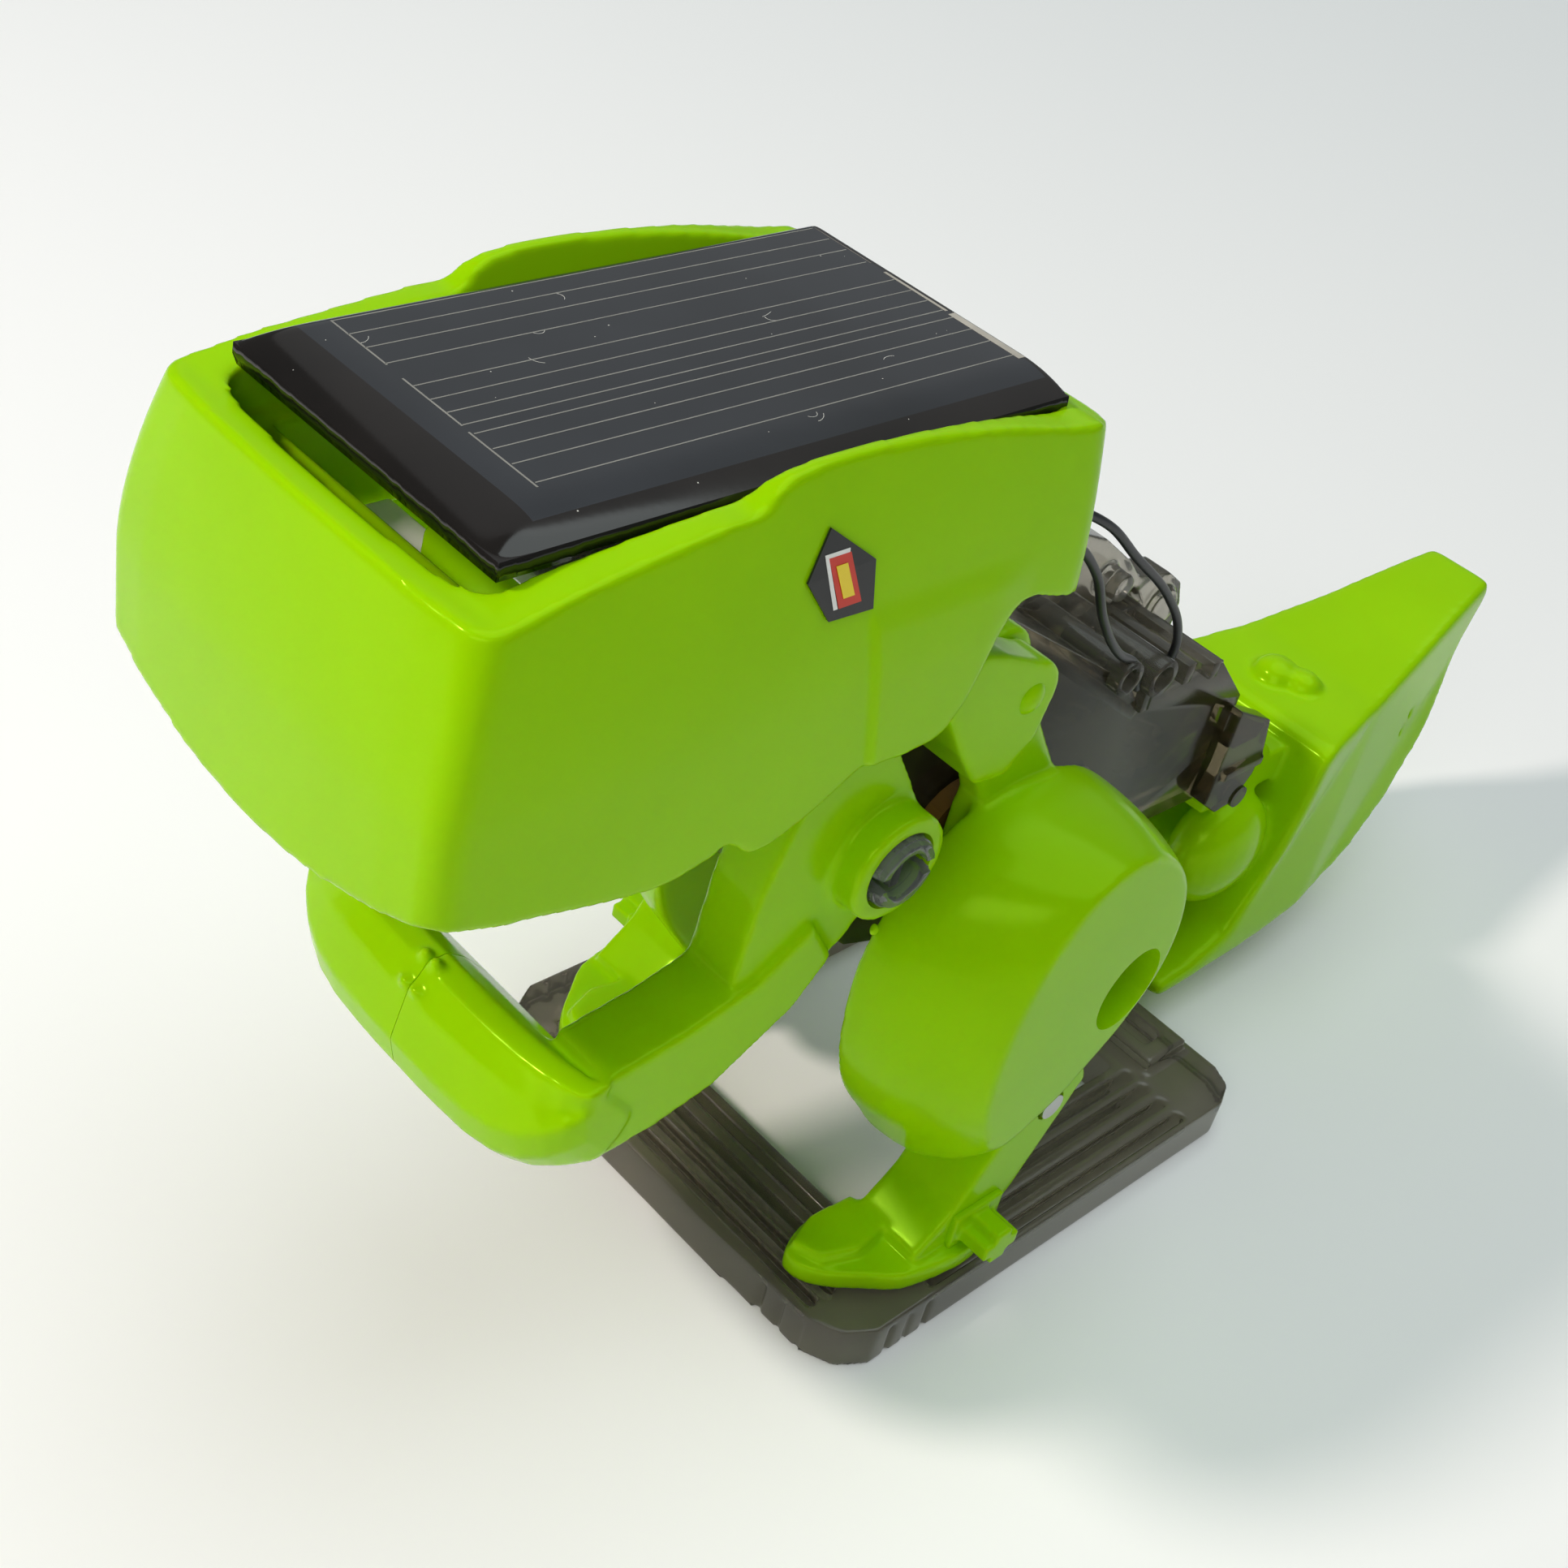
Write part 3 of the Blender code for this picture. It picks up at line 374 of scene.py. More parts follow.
def make_head():
    head = head_prism("head_skin", 60.0, 110.0, 50, 0.0, 0.0, 0.0)
    sections = []
    for i in range(41):
        x = -24.0 + 1.2 * i
        sections.append(placed("X", x, head_side(x)))
    boolean(head, "INTERSECT", loft("head_side", sections))
    rings = []
    for z, side_in, end_in in ((94.0, 3.9, 2.6), (98.0, 3.5, 2.5), (103.4, 0.5, 0.8)):
        rings.append(placed("Z", z, head_ring(z, side_in, end_in, end_in, 2.2)))
    cut(head, loft("upper_well", rings))
    cut(head, head_prism("lower_well", 58.0, 84.5, 12, 2.4, 2.4, 2.2, 2.0))
    well = [(-13.6, -82.4), (13.6, -82.4), (13.6, -52.0), (-13.6, -52.0)]
    cut(head, plate("front_well", well, 80.0, 96.0, "Z"))
    rear_well = [(-15.2, -49.0), (15.2, -49.0), (15.2, -31.9), (-15.2, -31.9)]
    cut(head, plate("rear_well", rear_well, 80.0, 96.0, "Z"))
    tongue = [(-3.2, 82.0), (-3.2, 88.4)] + arc((-1.2, 89.0), 2.0, 170, 90, 5)
    tongue += [(13.9, 91.2), (13.9, 82.0)]
    parts = [plate("tongue", tongue, -77.0, -75.0, "Y"),
             slab("cross_rib", (-16.0, -51.9, 86.0), (16, -49.4, 93.4)),
             drum("bracket_boss", 85.0, 93.4, (0.0, -60.0), 3.0, "Z")]
    flashes = (((19.3, -66.6, 73.2), (0.7, 1.0, 0.7)), ((19.2, -64.6, 73.9), (0.6, 0.6, 0.6)))
    for centre, size in flashes:
        parts.append(ball("flash", centre, size))
    merge(head, *parts)
    soften(head, 0.32, 8)

    def seam(x, y, z):
        """The rear of each cheek stands a little proud behind a vertical seam."""
        if abs(x) < 16.2 or z > 92:
            return (x, y, z)
        line = -54.7 + (89.1 - z) * 3.3 / 13.6
        step = 0.42 * smoothstep(-0.35, 0.35, y - line) * (1 - smoothstep(88.2, 91.0, z))
        step *= 1 - smoothstep(-42.0, -36.0, y)
        return (x + math.copysign(step, x), y, z)

    move(head, seam)
    return dress(head, GREEN, "torso", "green", "head_shell")


def make_eye(name, side):
    """A five-sided eye sticker: black, a slanted red and yellow pupil, a thin white edge."""
    def shape(label, corners, lift, thick, finish):
        rows = []
        for add in (0.0, thick):
            rows.append([(side * (EYE_HALF + HEAD_FLARE * spread_at(z) + lift + add), y, z)
                         for y, z in corners])
        return dress(loft(label, rows), finish, "torso", "black")

    black = [(-60.1, 97.9), (-55.5, 94.6), (-55.2, 90.8), (-59.6, 91.0), (-62.0, 94.4)]
    piece = shape("eye_face_" + name, black, 0.05, 0.16, INK)
    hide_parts("eye_" + name)
    shape("eye_rim_" + name, [(-60.6, 96.1), (-58.2, 96.1), (-58.2, 95.8), (-60.2, 95.8),
                              (-58.9, 91.8), (-59.3, 91.8)], 0.22, 0.03, WHITE)
    shape("eye_red_" + name, [(-60.2, 95.8), (-58.1, 95.8), (-56.6, 91.8), (-58.8, 91.8)],
          0.22, 0.05, RED)
    shape("eye_gold_" + name, [(-59.5, 95.1), (-58.4, 95.1), (-57.4, 92.5), (-58.5, 92.5)],
          0.28, 0.04, YELLOW)


# ---------------------------------------------------------------- solar panel

PANEL = (-14.6, 14.6, -85.0, -32.0)
PANEL_TOP = 100.0
DOME_RISE = 1.05
DOME_DROP = 1.15


def dome(x, y):
    """The epoxy's height: flat in the middle, with a long slope at the front and the left side."""
    shares = ((x - PANEL[0]) / 1.6, (PANEL[1] - x) / 4.4, (y - PANEL[2]) / 5.6,
              (PANEL[3] - y) / 0.6)
    t = min(1.0, max(0.0, -math.log(sum(math.exp(-8.0 * share) for share in shares)) / 8.0))
    return PANEL_TOP + DOME_RISE - DOME_DROP * (1 - t) ** 1.8


def make_panel():
    columns, rows = 60, 108
    points, faces = [], []
    for j in range(rows + 1):
        for i in range(columns + 1):
            # closer points near the edges, where the dome bends
            u = 0.5 - 0.5 * math.cos(math.pi * i / columns)
            v = 0.5 - 0.5 * math.cos(math.pi * j / rows)
            x = PANEL[0] + (PANEL[1] - PANEL[0]) * u
            y = PANEL[2] + (PANEL[3] - PANEL[2]) * v
            points.append((x, y, dome(x, y)))
    across = columns + 1
    for j in range(rows):
        for i in range(columns):
            a = j * across + i
            faces.append((a, a + 1, a + 1 + across, a + across))
    rim = [j * across for j in range(rows, 0, -1)] + list(range(across))
    rim += [j * across + columns for j in range(1, rows + 1)]
    rim += [rows * across + i for i in range(columns - 1, 0, -1)]
    low = []
    for index in rim:
        x, y, _ = points[index]
        ragged = random.uniform(-0.12, 0.16)
        low.append(len(points))
        points.append((x + math.copysign(ragged, x) * 0.5, y, 99.2 + random.uniform(-0.2, 0.1)))
    base = []
    for index in rim:
        x, y, _ = points[index]
        base.append(len(points))
        points.append((x * 0.985, y + 0.2 * (1 if y < -58 else -1), 98.3))
    for k in range(len(rim)):
        n = (k + 1) % len(rim)
        faces.append((rim[k], low[k], low[n], rim[n]))
        faces.append((low[k], base[k], base[n], low[n]))
    faces.append(tuple(base))
    panel = new_object("panel_skin", points, faces)
    panel.data.polygons.foreach_set("use_smooth", [True] * len(panel.data.polygons))
    panel.data.materials.clear()
    panel.data.materials.append(EPOXY)
    panel.data.materials.append(CELL)
    for face in panel.data.polygons:
        c = face.center / MM
        inside = -13.9 < c.x < 12.6 and -81.0 < c.y < -33.0
        face.material_index = 1 if inside and abs(face.normal.z) > 0.9 else 0
    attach(panel, "torso")
    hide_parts("solar_panel")


def make_light_plate():
    """Painted light: a white plate under the front of the well, standing in for the bright light
    seen through the opening there.
    """
    outline = [(-12.6, -81.4), (-1.6, -81.4), (-1.0, -74.6), (-3.0, -72.6), (-12.6, -72.6)]
    light_plate = plate("painted_light_plate", outline, 84.7, 86.0, "Z")
    rounded_edges(light_plate, 0.3, 2)
    dress(light_plate, WHITE, "torso", "white")


def ribbon(points, width, lift=0.02):
    """A thin flat strip on the panel's top through (x, y) points; returns (points, faces)."""
    out, faces = [], []
    for k, (x, y) in enumerate(points):
        ahead = points[min(k + 1, len(points) - 1)]
        behind = points[max(k - 1, 0)]
        dx, dy = ahead[0] - behind[0], ahead[1] - behind[1]
        length = math.hypot(dx, dy) or 1.0
        nx, ny = -dy / length * width / 2, dx / length * width / 2
        for sx, sy, up in ((nx, ny, 0), (-nx, -ny, 0), (-nx, -ny, lift), (nx, ny, lift)):
            out.append((x + sx, y + sy, dome(x + sx, y + sy) + up))
    for k in range(len(points) - 1):
        a = 4 * k
        for s in range(4):
            t = (s + 1) % 4
            faces.append((a + s, a + t, a + 4 + t, a + 4 + s))
    faces.append((0, 1, 2, 3))
    end = 4 * (len(points) - 1)
    faces.append((end, end + 3, end + 2, end + 1))
    return out, faces


def ribbons(name, strips, finish, lift=0.02):
    points, faces = [], []
    for line, width in strips:
        more, sides = ribbon(line, width, lift)
        base = len(points)
        points += more
        faces += [tuple(i + base for i in face) for face in sides]
    return dress(new_object(name, points, faces), finish, "torso", "panel")


def straight(x0, y0, x1, y1, steps=10):
    return [(x0 + (x1 - x0) * i / steps, y0 + (y1 - y0) * i / steps) for i in range(steps + 1)]


def make_cell_lines():
    front, rear = -78.6, -33.3
    groups = (((-13.0, -6.4), (-12.9, -10.9, -8.9, -6.6)), ((-4.5, 2.1), (-3.4, -1.5, 0.3, 2.0)),
              ((2.9, 10.1), (3.2, 5.2, 7.2, 9.6)))
    strips, contacts = [], []
    for k, ((left, right), places) in enumerate(groups):
        strips.append((straight(left, front - 0.1 * k, right, front - 0.1 * k), 0.14))
        for x in places:
            strips.append((straight(x, front, x, rear, 24), 0.11))
        shift = 0.45 * (1 - k)
        level = rear + 0.45 + shift * 0.4
        contacts.append((straight(left - 0.2, level, right + 0.1, level), 0.7))
    ribbons("cell_lines", strips, LINES, 0.015)
    ribbons("cell_contacts", contacts, BUS, 0.02)
    specks, hairs = [], []
    for _ in range(20):
        x, y = random.uniform(-14, 14), random.uniform(-84, -33)
        size = random.uniform(0.04, 0.10)
        specks.append((straight(x, y, x + size, y + random.uniform(-0.05, 0.05), 1), size))
    for _ in range(9):
        x, y = random.uniform(-11, 12), random.uniform(-80, -40)
        turn = random.uniform(0, 6.28)
        bend = random.uniform(-1.2, 1.2)
        line = []
        for i in range(9):
            a = turn + bend * i / 4
            line.append((x, y))
            x += 0.16 * math.cos(a)
            y += 0.16 * math.sin(a)
        hairs.append((line, 0.035))
    ribbons("panel_dust", specks + hairs, DUST, 0.012)


# ---------------------------------------------------------------- jaw

def chin(x, back, up):
    return [(x, -76.9 + back, 43.2 + up), (x, -76.2 + back, 40.0 + up),
            (x, -74.4 + back, 38.0 + up), (x, -71.0 + back * 0.4, 37.0 + up), (x, -67.8, 38.4 + up),
            (x, -67.0, 42.0 + up * 0.6), (x, -67.2, 45.6), (x, -70.2, 49.0),
            (x, -72.2 + back / 2, 50.4), (x, -74.2 + back / 2, 50.0), (x, -75.8 + back, 47.6)]


def make_jaw(name, side):
    shapes = [(-0.9, 0.0, 0.0), (3.0, 0.0, 0.0), (6.0, 0.1, 0.0), (9.0, 0.3, 0.0), (12.0, 0.7, 0.4),
              (14.5, 1.4, 1.3), (16.5, 2.4, 2.6), (17.8, 3.5, 4.0), (18.4, 4.8, 5.0)]
    jaw = loft("jaw_skin_" + name, [[(side * x, y, z) for x, y, z in chin(*s)] for s in shapes])
    arm_line = [(-70.0, 41.0), (-64.0, 41.2), (-57.3, 42.7), (-49.4, 47.6), (-46.0, 52.0),
                (-49.5, 57.0), (-55.0, 53.2), (-62.0, 51.4), (-70.0, 50.4)]
    arm = plate("arm", arm_line, *sided(side, 11.3, 18.0))
    upright_line = [(-57.8, 44.0), (-54.5, 44.8), (-49.0, 48.8), (-44.0, 52.4)]
    upright_line += arc(JAW, 5.2, -55, 40, 10)
    upright_line += [(-40.6, 67.8), (-43.6, 72.4), (-48.0, 75.4), (-52.0, 74.8), (-56.0, 62.0),
                     (-56.8, 54.0)]
    upright = plate("upright", upright_line, *sided(side, 11.4, 17.0))
    ring = drum("ring", *sided(side, 12.8, 19.9), JAW, 5.15)
    lug = ball("flash", (side * 0.7, -73.8, 50.6), (0.7, 0.6, 0.5))
    nub = ball("flash", (side * 0.7, -75.6, 48.4), (0.6, 0.5, 0.6))
    merge(jaw, arm, upright, ring, lug, nub)
    soften(jaw, 0.34, 9)
    low, high = sorted((-side * 6, side * 0.04))
    cut(jaw, slab("other_half", (low, -90, 30), (high, -60, 60)))
    cut(jaw, drum("bore", *sided(side, 4, 26), JAW, 3.75, sides=48))
    rounded_edges(jaw, 0.14, 2, 55)
    return dress(jaw, GREEN, "jaw", "green", "jaw_" + name)


def make_jaw_pin(name, side):
    """A clear split snap pin: two curved prongs with hooked ends around a slot."""
    low, high = sided(side, 9.0, 20.2)
    pin = drum("jaw_snap_" + name, low, high, JAW, 3.4, sides=48)
    lip = sided(side, 19.2, 20.7)
    unite(pin, drum("lip", *lip, JAW, 3.6 if side > 0 else 3.1, end=3.1 if side > 0 else 3.6,
                    sides=48))
    cut(pin, drum("core", *sided(side, 12, 26), JAW, 2.3, sides=36))
    low, high = sided(side, 13, 26)
    cut(pin, slab("slot", (low, JAW[0] - 6, JAW[1] - 0.7), (high, JAW[0] + 6, JAW[1] + 0.7)))
    low, high = sided(side, 11.5, 19.6)
    tongue = slab("tongue", (low, JAW[0] - 0.5, JAW[1] - 1.8), (high, JAW[0] + 0.5, JAW[1] + 1.8))
    merge(pin, tongue)
    rounded_edges(pin, 0.18, 2, 40)
    return dress(pin, CLEAR, "torso", "smoke", "jaw_pin_" + name)


# ---------------------------------------------------------------- legs

THIGH_INNER = [(-16.0, 13.4), (-23.6, 13.8), (-29.2, 20.4), (-33.2, 26.6), (-35.2, 34.0),
               (-35.2, 43.6), (-31.0, 52.2), (-25.0, 56.2), (-18.0, 57.2), (-9.6, 55.4),
               (-1.0, 48.0), (2.8, 38.6), (0.3, 29.0), (-8.0, 18.5)]
THIGH_OUTER = [(-20.5, 23.0), (-24.0, 23.4), (-26.6, 26.6), (-28.6, 31.0), (-29.2, 38.0),
               (-27.8, 46.0), (-24.0, 52.6), (-20.0, 55.0), (-15.0, 55.4), (-9.5, 53.0),
               (-4.0, 47.0), (-2.0, 39.0), (-4.6, 32.0), (-13.0, 25.5)]


def make_thigh(name, side):
    inner, outer = curve_through(THIGH_INNER), curve_through(THIGH_OUTER)
    rows = []
    for t in (0.0, 0.12, 0.25, 0.38, 0.5, 0.62, 0.74, 0.85, 0.93, 1.0):
        close = t ** 2.4
        row = []
        for (ya, za), (yb, zb) in zip(inner, outer):
            y, z = ya + (yb - ya) * close, za + (zb - za) * close
            x = 13.0 + 14.0 * t - 1.6 * t * (y + 26.0) / 27.0
            row.append((side * x, y, z))
        rows.append(row)
    thigh = loft("thigh_skin_" + name, rows)
    low, high = sided(side, 10.6, 13.6)
    neck_line = [(-24.6, 57.0), (-25.5, 46.0), (-8.0, 46.0), (-14.4, 57.4)]
    neck_line += arc(HIP, 4.0, -15, 195, 16)
    merge(thigh, plate("neck", neck_line, low, high),
          ball("flash", (side * 14.0, -35.6, 47.0), (0.6, 0.6, 0.9)))
    soften(thigh, 0.38, 9)
    cut(thigh, drum("peg_hole", *sided(side, 17.5, 34), (-8.4, 36.0), 4.8, sides=48),
        drum("lug_hole", *sided(side, 8, 15), HIP, 1.9, sides=32))
    slot_line = [(-27.0, 2.0), (-6.0, 2.0)] + arc(KNEE, 6.0, -20, 165, 14)
    cut(thigh, plate("shin_slot", slot_line, *sided(side, 16.4, 25.6)))
    rounded_edges(thigh, 0.22, 2, 50)
    return dress(thigh, GREEN, "legs", "green", "thigh_" + name)


def make_foot(name, side):
    sole = 5.3
    body_line = [(-29.0, sole), (-19.4, sole), (-15.0, 11.0), (-8.6, 23.0)]
    body_line += arc(KNEE, 5.2, 0, 140, 10)
    body_line += [(-21.4, 18.4), (-24.6, 12.6), (-28.8, 9.0)]
    foot = plate("foot_skin_" + name, body_line, *sided(side, 16.9, 25.3))
    plan = [(16.8, -38.4), (20.2, -37.6), (23.4, -33.8), (26.2, -29.0), (26.4, -19.4),
            (17.0, -19.4), (16.9, -28.8), (15.4, -29.6), (15.1, -34.4)]
    rows = [[(side * x, y, z) for x, y in curve_through(plan)] for z in (sole, 7.8)]
    nail_plan = ((16.8, -38.0), (20.0, -36.8), (21.4, -33.0), (20.8, -28.6), (15.8, -28.6),
                 (15.4, -34.0))
    nail = [[(side * x, y, z) for x, y in nail_plan] for z in (6.0, 9.2)]
    merge(foot, loft("sole", rows), loft("nail", nail))
    soften(foot, 0.30, 16)
    cut(foot, drum("pin_bore", *sided(side, 14, 28), KNEE, 1.8, sides=24))
    low, high = sided(side, 24.8, 26.0)
    pad = slab("pad", (low, -24.4, 7.0), (high, -17.4, 12.2))
    cross = []
    low, high = sided(side, 25, 29.6)
    for a, b in ((2.4, 1.1), (1.1, 2.4)):
        cross.append(slab("peg", (low, -20.8 - a, 9.6 - b * 0.85),
                          (high, -20.8 + a, 9.6 + b * 0.85)))
    merge(foot, soften(merge(pad, *cross), 0.22, 4))
    return dress(foot, GREEN, "base", "green", "foot_" + name)


def make_hip_bracket():
    bar = plate("hip_bracket_skin", [(-42, 78.2), (-35, 78.2), (-35, 81.0), (-42, 81.0)],
                -15.6, 15.6)
    block = [(-39.8, 74.6), (-36.4, 69.4), (-33.2, 65.2), (-29.2, 64.8), (-26.4, 68.0)]
    block += arc((-29.2, 72.8), 3.7, -25, 85, 8)
    block += [(-31.4, 77.6), (-34.0, 78.8), (-37.0, 79.8), (-39.8, 79.0)]
    for side in SIDES.values():
        fork = plate("fork", block, *sided(side, 8.4, 18.0))
        merge(bar, fork)
    soften(bar, 0.26, 24)
    for side in SIDES.values():
        slot = [(-32.4, 60.0), (-18.0, 60.0), (-18.0, 86.0), (-27.0, 86.0), (-31.0, 80.0),
                (-32.4, 77.0)]
        cut(bar, plate("slot", slot, *sided(side, 10.4, 14.2)))
    rounded_edges(bar, 0.3, 2, 50)
    dress(bar, GREEN, "torso", "green", "hip_bracket")
    for name, side in SIDES.items():
        pin = drum("hip_rivet_" + name, *sided(side, 8.4, 17.6), HIP, 1.6)
        merge(pin, ball("head", (side * 17.4, HIP[0] - 1.0, HIP[1] + 0.3), (1.2, 1.8, 1.8)))
        soften(pin, 0.22, 3)
        dress(pin, GREEN, "torso", "green", "hip_pin_" + name)


# ---------------------------------------------------------------- tail

TAIL_SIDE = [(27.2, 5.2), (40.0, 5.6), (47.0, 6.0), (56.0, 7.4), (66.0, 10.6), (75.0, 15.6),
             (83.0, 23.8), (89.0, 34.2), (92.0, 39.4), (90.6, 42.0), (83.0, 40.6), (72.0, 38.2),
             (60.0, 36.2), (47.6, 35.3), (45.8, 34.4), (45.2, 27.0), (43.4, 18.0), (38.6, 10.6),
             (33.0, 8.2), (27.2, 7.6)]


def tail_scale(y, z):
    back = max(0.0, (y - 47.0) / 45.0)
    upper = 1 - 0.66 * back ** 0.9
    lower = 1 - 0.56 * back ** 2
    t = smoothstep(26.0, 36.0, z)
    return lower + (upper - lower) * t


def make_tail():
    levels = 26
    rows = []
    for i in range(levels + 1):
        x = -13.0 + 26.0 * i / levels
        rows.append([(x * tail_scale(y, z), y, z) for y, z in TAIL_SIDE])
    tail = loft("tail_skin", rows)
    soften(tail, 0.42, 26)
    hollow_line = [(42.0, 2.0), (56.0, 4.4), (65.0, 9.0), (71.0, 19.0), (76.5, 27.6), (73.0, 32.2),
                   (50.0, 30.6), (48.0, 20.0), (45.0, 10.0)]
    rows = [[(x * tail_scale(y, z), y, z) for y, z in hollow_line] for x in (-10.4, -5, 0, 5, 10.4)]
    cut(tail, loft("tail_hollow", rows))
    bumps = [ball("bump", (-1.2, 53.4, 35.8), (2.9, 3.0, 2.1)),
             ball("bump", (2.0, 54.6, 35.7), (2.5, 2.4, 1.9)),
             drum("knuckle", -7.4, 7.4, (38.0, 31.0), 5.0),
             slab("arm", (-7.4, 31.0, 28.4), (7.4, 46.0, 33.2)), drum("lug", -7.4, 7.4, TAIL, 3.2),
             ball("bulge", (7.4, 37.4, 21.4), (4.4, 8.0, 7.6)),
             ball("bulge", (-7.4, 37.4, 21.4), (4.4, 8.0, 7.6))]
    merge(tail, *bumps)
    soften(tail, 0.36, 12)
    cut(tail, drum("bore", -20, 20, TAIL, 1.7, sides=24))
    return dress(tail, GREEN, "tail", "green", "tail_shell")


# ---------------------------------------------------------------- base

def make_base():
    outline = [(-28, 21), (-28, -35.5), (-26.2, -38.6), (-23, -40.2), (-8, -41), (8, -41),
               (23, -40.2), (26.2, -38.6), (28, -35.5), (28, 21), (26.6, 23.8), (24, 25), (-24, 25),
               (-26.6, 23.8)]
    base = plate("base_skin", outline, 0.0, 5.2, "Z")
    window = [(-17, -28), (17, -28), (17, 14), (-17, 14)]
    cut(base, plate("window", window, -3, 9, "Z"))
    grooves = []
    for y, low in ((-39.2, 3.4), (-36.6, 2.6), (-33.8, 2.6), (-30.8, 3.2)):
        grooves.append(slab("groove", (-22, y, low), (22, y + 1.3, 7)))
    for side in SIDES.values():
        for x, depth in ((18.4, 3.2), (20.8, 2.6), (23.4, 2.6), (25.9, 3.4)):
            low, high = sided(side, x, x + 1.2)
            grooves.append(slab("groove", (low, -27, depth), (high, 15, 7)))
        low, high = sided(side, 27.5, 30)
        for y in (-33.0, -30.4, -27.6):
            grooves.append(slab("nick", (low, y - 0.35, -1), (high, y + 0.35, 4.2)))
    for x in (-22.4, -19.6, -16.8, 16.8, 19.6, 22.4):
        grooves.append(slab("nick", (x - 0.35, -44, -1), (x + 0.35, -39.9, 4.2)))
    cut(base, *grooves)
    unite(base, slab("rear_step", (-20, 16.6, 4.6), (20, 23.6, 6.8)))
    cut(base, slab("rear_groove", (-17.6, 18.6, 5.6), (17.6, 21.4, 8)))
    soften(base, 0.30, 3)
    return dress(base, SMOKE, "base", "smoke", "base_frame")


# ---------------------------------------------------------------- gearbox

BOX_LINE = [(-51, 74.0), (-51, 60.0), (-41, 47.0), (-31.0, 38.2), (-24, 35.8), (10, 34.0),
            (26, 33.5), (27.5, 38.0), (27.5, 47.4), (21.0, 53.8), (13.0, 56.4), (6.0, 55.8),
            (-20.5, 72.0), (-25, 73.4)]
BOX_INSIDE = [(-49.7, 72.7), (-49.7, 60.5), (-40.1, 48.0), (-30.5, 39.4), (-23.8, 37.0),
              (10.0, 35.2), (25.1, 34.7), (26.3, 38.2), (26.3, 46.9), (20.4, 52.6), (12.8, 55.1),
              (5.6, 54.6), (-21.0, 70.8), (-25.2, 72.1)]
TUBES = (((5.4, 58.4), 2.15, 1.45), ((-0.8, 60.4), 1.9, 1.25))


def make_gearbox():
    """The moulded box: screw tubes and rails on its top, a motor housing, the tail's cheeks."""
    shell = plate("gearbox_skin", BOX_LINE, -8.0, 8.0)
    cut(shell, plate("inside", BOX_INSIDE, -6.8, 6.8))
    lip = [(-21.5, 71.2), (-21.2, 72.6), (1.6, 58.4), (5.6, 53.6), (4.4, 52.8)]
    extra = []
    for side in SIDES.values():
        extra.append(plate("lip", lip, *sided(side, 7.6, 9.0)))
    extra.append(slab("web", (-7.4, 4.6, 54.0), (9.6, 6.0, 58.0)))
    extra.append(slab("rail", (-8.0, 10.6, 55.6), (9.8, 11.9, 57.9)))
    extra.append(slab("rail", (-8.0, 15.6, 54.6), (9.8, 16.9, 56.6)))
    extra.append(slab("rail", (-8.0, 20.4, 52.6), (7.6, 21.7, 53.6)))
    extra.append(plate("rear_rail", [(24, 44.6), (31.6, 41.6), (32.2, 43.0), (24, 47.0)],
                       -9.4, 9.4))
    extra.append(slab("rear_rail", (-9.4, 27.0, 41.4), (9.4, 31.6, 42.0)))
    unite(shell, *extra)
    for centre, radius, bore in TUBES:
        unite(shell, drum("tube", -9.0, 10.4, centre, radius, sides=32))
        cut(shell, drum("tube_bore", 1.0, 14.0, centre, bore, sides=24))
    rounded_edges(shell, 0.22, 2, 30)
    dress(shell, BOX_SMOKE, "torso", "smoke", "gearbox_left", "gearbox_right")
    # Painted light: above 52 mm, the shell's faces that don't face sideways (top, tubes, rails,
    # ends) take the paler smoke, so they look lit against the darker side walls.
    shell.data.materials.append(PALE_SMOKE)
    for face in shell.data.polygons:
        face.material_index = 1 if abs(face.normal.x) < 0.7 and face.center.z > 0.052 else 0
    housing = plate("motor_housing", [(-8.0, 64.0), (-6.0, 68.8), (0.0, 70.2), (6.5, 67.5),
                                      (12.0, 63.5), (14.6, 60.9), (17.0, 60.3), (20.6, 59.6),
                                      (23.4, 57.6), (24.7, 54.6), (24.6, 51.8), (23.0, 50.2),
                                      (8.0, 57.0)], -5.0, -1.2)
    cut(housing, drum("lug_bore", -8.0, 2.0, (20.2, 55.6), 1.5, sides=28))
    cut(housing, plate("gap", [(10.5, 58.6), (14.5, 59.6), (17.0, 56.6), (12.5, 57.2)], -8.0, 2.0))
    merge(housing, drum("lug", -5.6, -0.4, (20.2, 55.6), 2.4, sides=32),
          drum("stud", -1.6, 1.4, (8.0, 62.8), 1.6))
    soften(housing, 0.26, 5)
    dress(housing, PALE_SMOKE, "torso", "smoke")
    for name, side in SIDES.items():
        line = [(25.0, 47.4), (32.6, 43.6), (33.8, 39.4), (33.6, 35.8), (31.4, 32.4), (28.2, 32.0),
                (25.0, 34.4)]
        cheek = plate("cheek_skin_" + name, line, *sided(side, 7.8, 10.2))
        low, high = sided(side, 7.9, 10.8)
        merge(cheek, slab("rib", (low, 26.0, 37.6), (high, 33.4, 38.8)))
        soften(cheek, 0.22, 6)
        dress(cheek, BOX_SMOKE, "torso", "smoke", "tail_cheek_" + name)
    for number, (centre, radius, bore) in enumerate(TUBES, 1):
        screw = drum("tube_screw_%d" % number, 2.0, 6.4, centre, bore - 0.25, sides=24)
        cut(screw, slab("cross", (5.6, centre[0] - 0.18, centre[1] - 1),
                        (7, centre[0] + 0.18, centre[1] + 1)),
            slab("cross", (5.6, centre[0] - 1, centre[1] - 0.18),
                 (7, centre[0] + 1, centre[1] + 0.18)))
        dress(screw, STEEL, "torso", "steel", "gearbox_screw_%d" % number)


# ---------------------------------------------------------------- wires

WIRE_RADIUS = 0.46


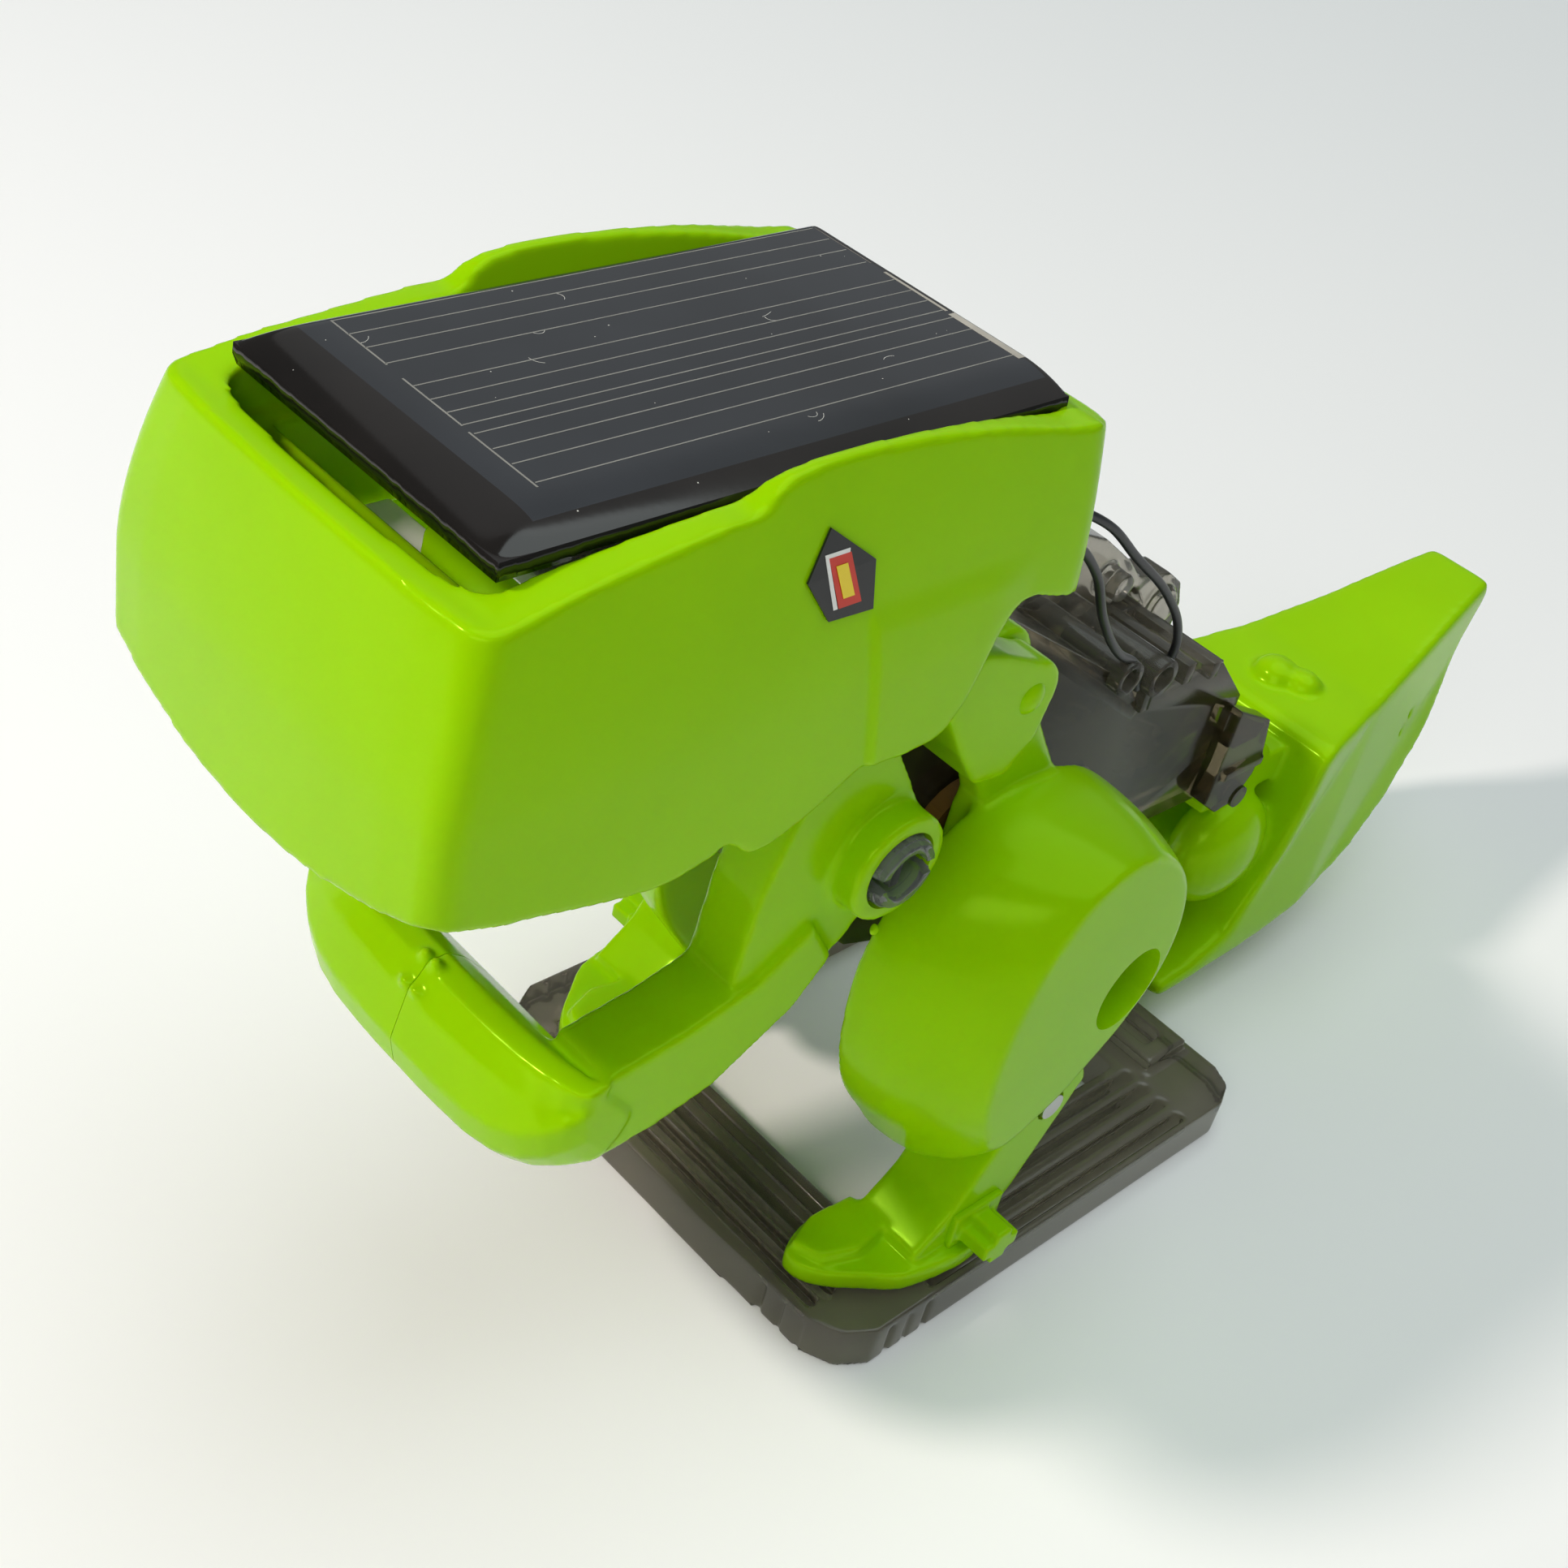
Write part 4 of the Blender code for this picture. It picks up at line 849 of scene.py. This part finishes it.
def make_wire(name, route):
    curve = bpy.data.curves.new(name, "CURVE")
    curve.dimensions = "3D"
    curve.bevel_depth = WIRE_RADIUS * MM
    curve.bevel_resolution = 5
    curve.resolution_u = 10
    curve.use_fill_caps = True
    spline = curve.splines.new("BEZIER")
    spline.bezier_points.add(len(route) - 1)
    for point, place in zip(spline.bezier_points, route):
        point.co = Vector(place) * MM
        point.handle_left_type = point.handle_right_type = "AUTO"
    obj = bpy.data.objects.new("lead_" + name, curve)
    bpy.context.scene.collection.objects.link(obj)
    dress(obj, BLACK, "torso", "black", name)


WIRE_A = [(2.0, -37.0, 91.5), (2.2, -35.0, 86.5), (3.6, -28.0, 83.4), (5.8, -18.0, 82.0),
          (7.4, -10.0, 79.0), (8.0, -3.2, 73.6), (8.3, 4.4, 67.2), (8.4, 8.4, 62.0),
          (8.2, 9.4, 59.0), (8.0, 9.0, 56.6)]
WIRE_B = [(9.0, -37.0, 91.5), (9.2, -35.0, 86.5), (9.4, -27.0, 83.0), (9.6, -18.0, 80.4),
          (9.8, -12.4, 75.8), (9.9, -8.6, 69.6), (9.8, -4.0, 64.4), (9.4, 1.0, 60.9),
          (8.8, 3.6, 57.0)]


# ---------------------------------------------------------------- the set

def kept_nodes():
    """CAD nodes that stay visible get the finer finishes."""
    finishes = {"crank_left": AMBER, "crank_right": AMBER, "motor_front_boss": AMBER}
    for node in ("knee_pin_left", "knee_pin_right", "motor_can", "gear_axle_1", "gear_axle_2",
                 "output_shaft",
                 "bracket_screw"):
        finishes[node] = STEEL
    for node in ("panel_bracket", "panel_pad", "output_gear", "stepped_gear_1", "stepped_gear_2",
                 "motor_pinion"):
        finishes[node] = WHITE
    finishes["tail_pin"] = BOX_SMOKE
    for node, finish in finishes.items():
        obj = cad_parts[node]
        obj.data.materials.clear()
        obj.data.materials.append(finish)


def place_lamp(light, place):
    """Puts a light at a place, aimed at the object's middle."""
    lamp = bpy.data.objects.new(light.name, light)
    lamp.location = place
    toward = Vector(place) - Vector((0, -0.02, 0.06))
    lamp.rotation_euler = toward.to_track_quat("Z", "Y").to_euler()
    bpy.context.scene.collection.objects.link(lamp)


def make_stage():
    corners = [(-3000, -3000, 0), (3000, -3000, 0), (3000, 3000, 0), (-3000, 3000, 0)]
    floor = new_object("floor", corners, [(0, 1, 2, 3)])
    pale = bpy.data.materials.new("pale_floor")
    pale.use_nodes = True
    shade = (0.93, 0.93, 0.93, 1)
    pale.node_tree.nodes["Principled BSDF"].inputs["Base Color"].default_value = shade
    pale.node_tree.nodes["Principled BSDF"].inputs["Roughness"].default_value = 0.9
    pale.node_tree.nodes["Principled BSDF"].inputs["Specular IOR Level"].default_value = 0.1
    floor.data.materials.append(pale)
    world = bpy.data.worlds.new("studio")
    world.use_nodes = True
    world.node_tree.nodes["Background"].inputs["Color"].default_value = (0.85, 0.96, 1.0, 1)
    world.node_tree.nodes["Background"].inputs["Strength"].default_value = 0.12
    bpy.context.scene.world = world
    light = bpy.data.lights.new("top", "SUN")
    light.angle = math.radians(60)
    light.energy = 1.3
    light.color = (0.90, 1.0, 1.0)
    place_lamp(light, (0.10, 0.15, 1.0))
    light = bpy.data.lights.new("key", "AREA")
    light.shape = "DISK"
    light.size = 0.10
    light.energy = 4.6
    light.color = (1.0, 0.89, 0.82)
    place_lamp(light, (-0.272, -0.60, 0.63))
    light = bpy.data.lights.new("front", "AREA")
    light.shape = "RECTANGLE"
    light.size, light.size_y = 0.7, 0.3
    light.energy = 1.9
    light.color = (1.0, 0.95, 0.92)
    place_lamp(light, (0.42, -0.70, 0.60))
    light = bpy.data.lights.new("backboard", "AREA")
    light.shape = "RECTANGLE"
    light.size, light.size_y = 1.5, 1.1
    light.energy = 1.3
    place_lamp(light, (-0.65, 0.81, 0.88))

# The width of the reference's frame and the focal length that its corners solve to, in one unit.
FRAME_WIDTH = 1932
FOCAL_LENGTH = 2620
SENSOR = 36.0


def make_camera():
    """The reference's viewpoint: 37 degrees down, from the front left."""
    right = Vector((0.66612598, 0.71978324, 0.1954182))
    up = -Vector((0.55273286, -0.30049602, -0.77729565))
    back = -Vector((-0.50076199, 0.62579088, -0.59801605))
    camera = bpy.data.cameras.new("camera")
    camera.sensor_width = SENSOR
    camera.lens = SENSOR * FOCAL_LENGTH / FRAME_WIDTH
    camera.clip_start = 0.005
    obj = bpy.data.objects.new("camera", camera)
    place = Matrix((right, up, back)).transposed().to_4x4()
    place.translation = Vector((0.09587, -0.15532, 0.16811))
    obj.matrix_world = place
    bpy.context.scene.collection.objects.link(obj)
    bpy.context.scene.camera = obj


bpy.context.scene.view_settings.view_transform = "Standard"
make_camera()
make_stage()
kept_nodes()
make_head()
make_panel()
make_cell_lines()
make_light_plate()
make_hip_bracket()
make_gearbox()
make_tail()
make_base()
for side_name, side_sign in SIDES.items():
    make_eye(side_name, side_sign)
    make_jaw(side_name, side_sign)
    make_jaw_pin(side_name, side_sign)
    make_thigh(side_name, side_sign)
    make_foot(side_name, side_sign)
make_wire("wire_a", WIRE_A)
make_wire("wire_b", WIRE_B)
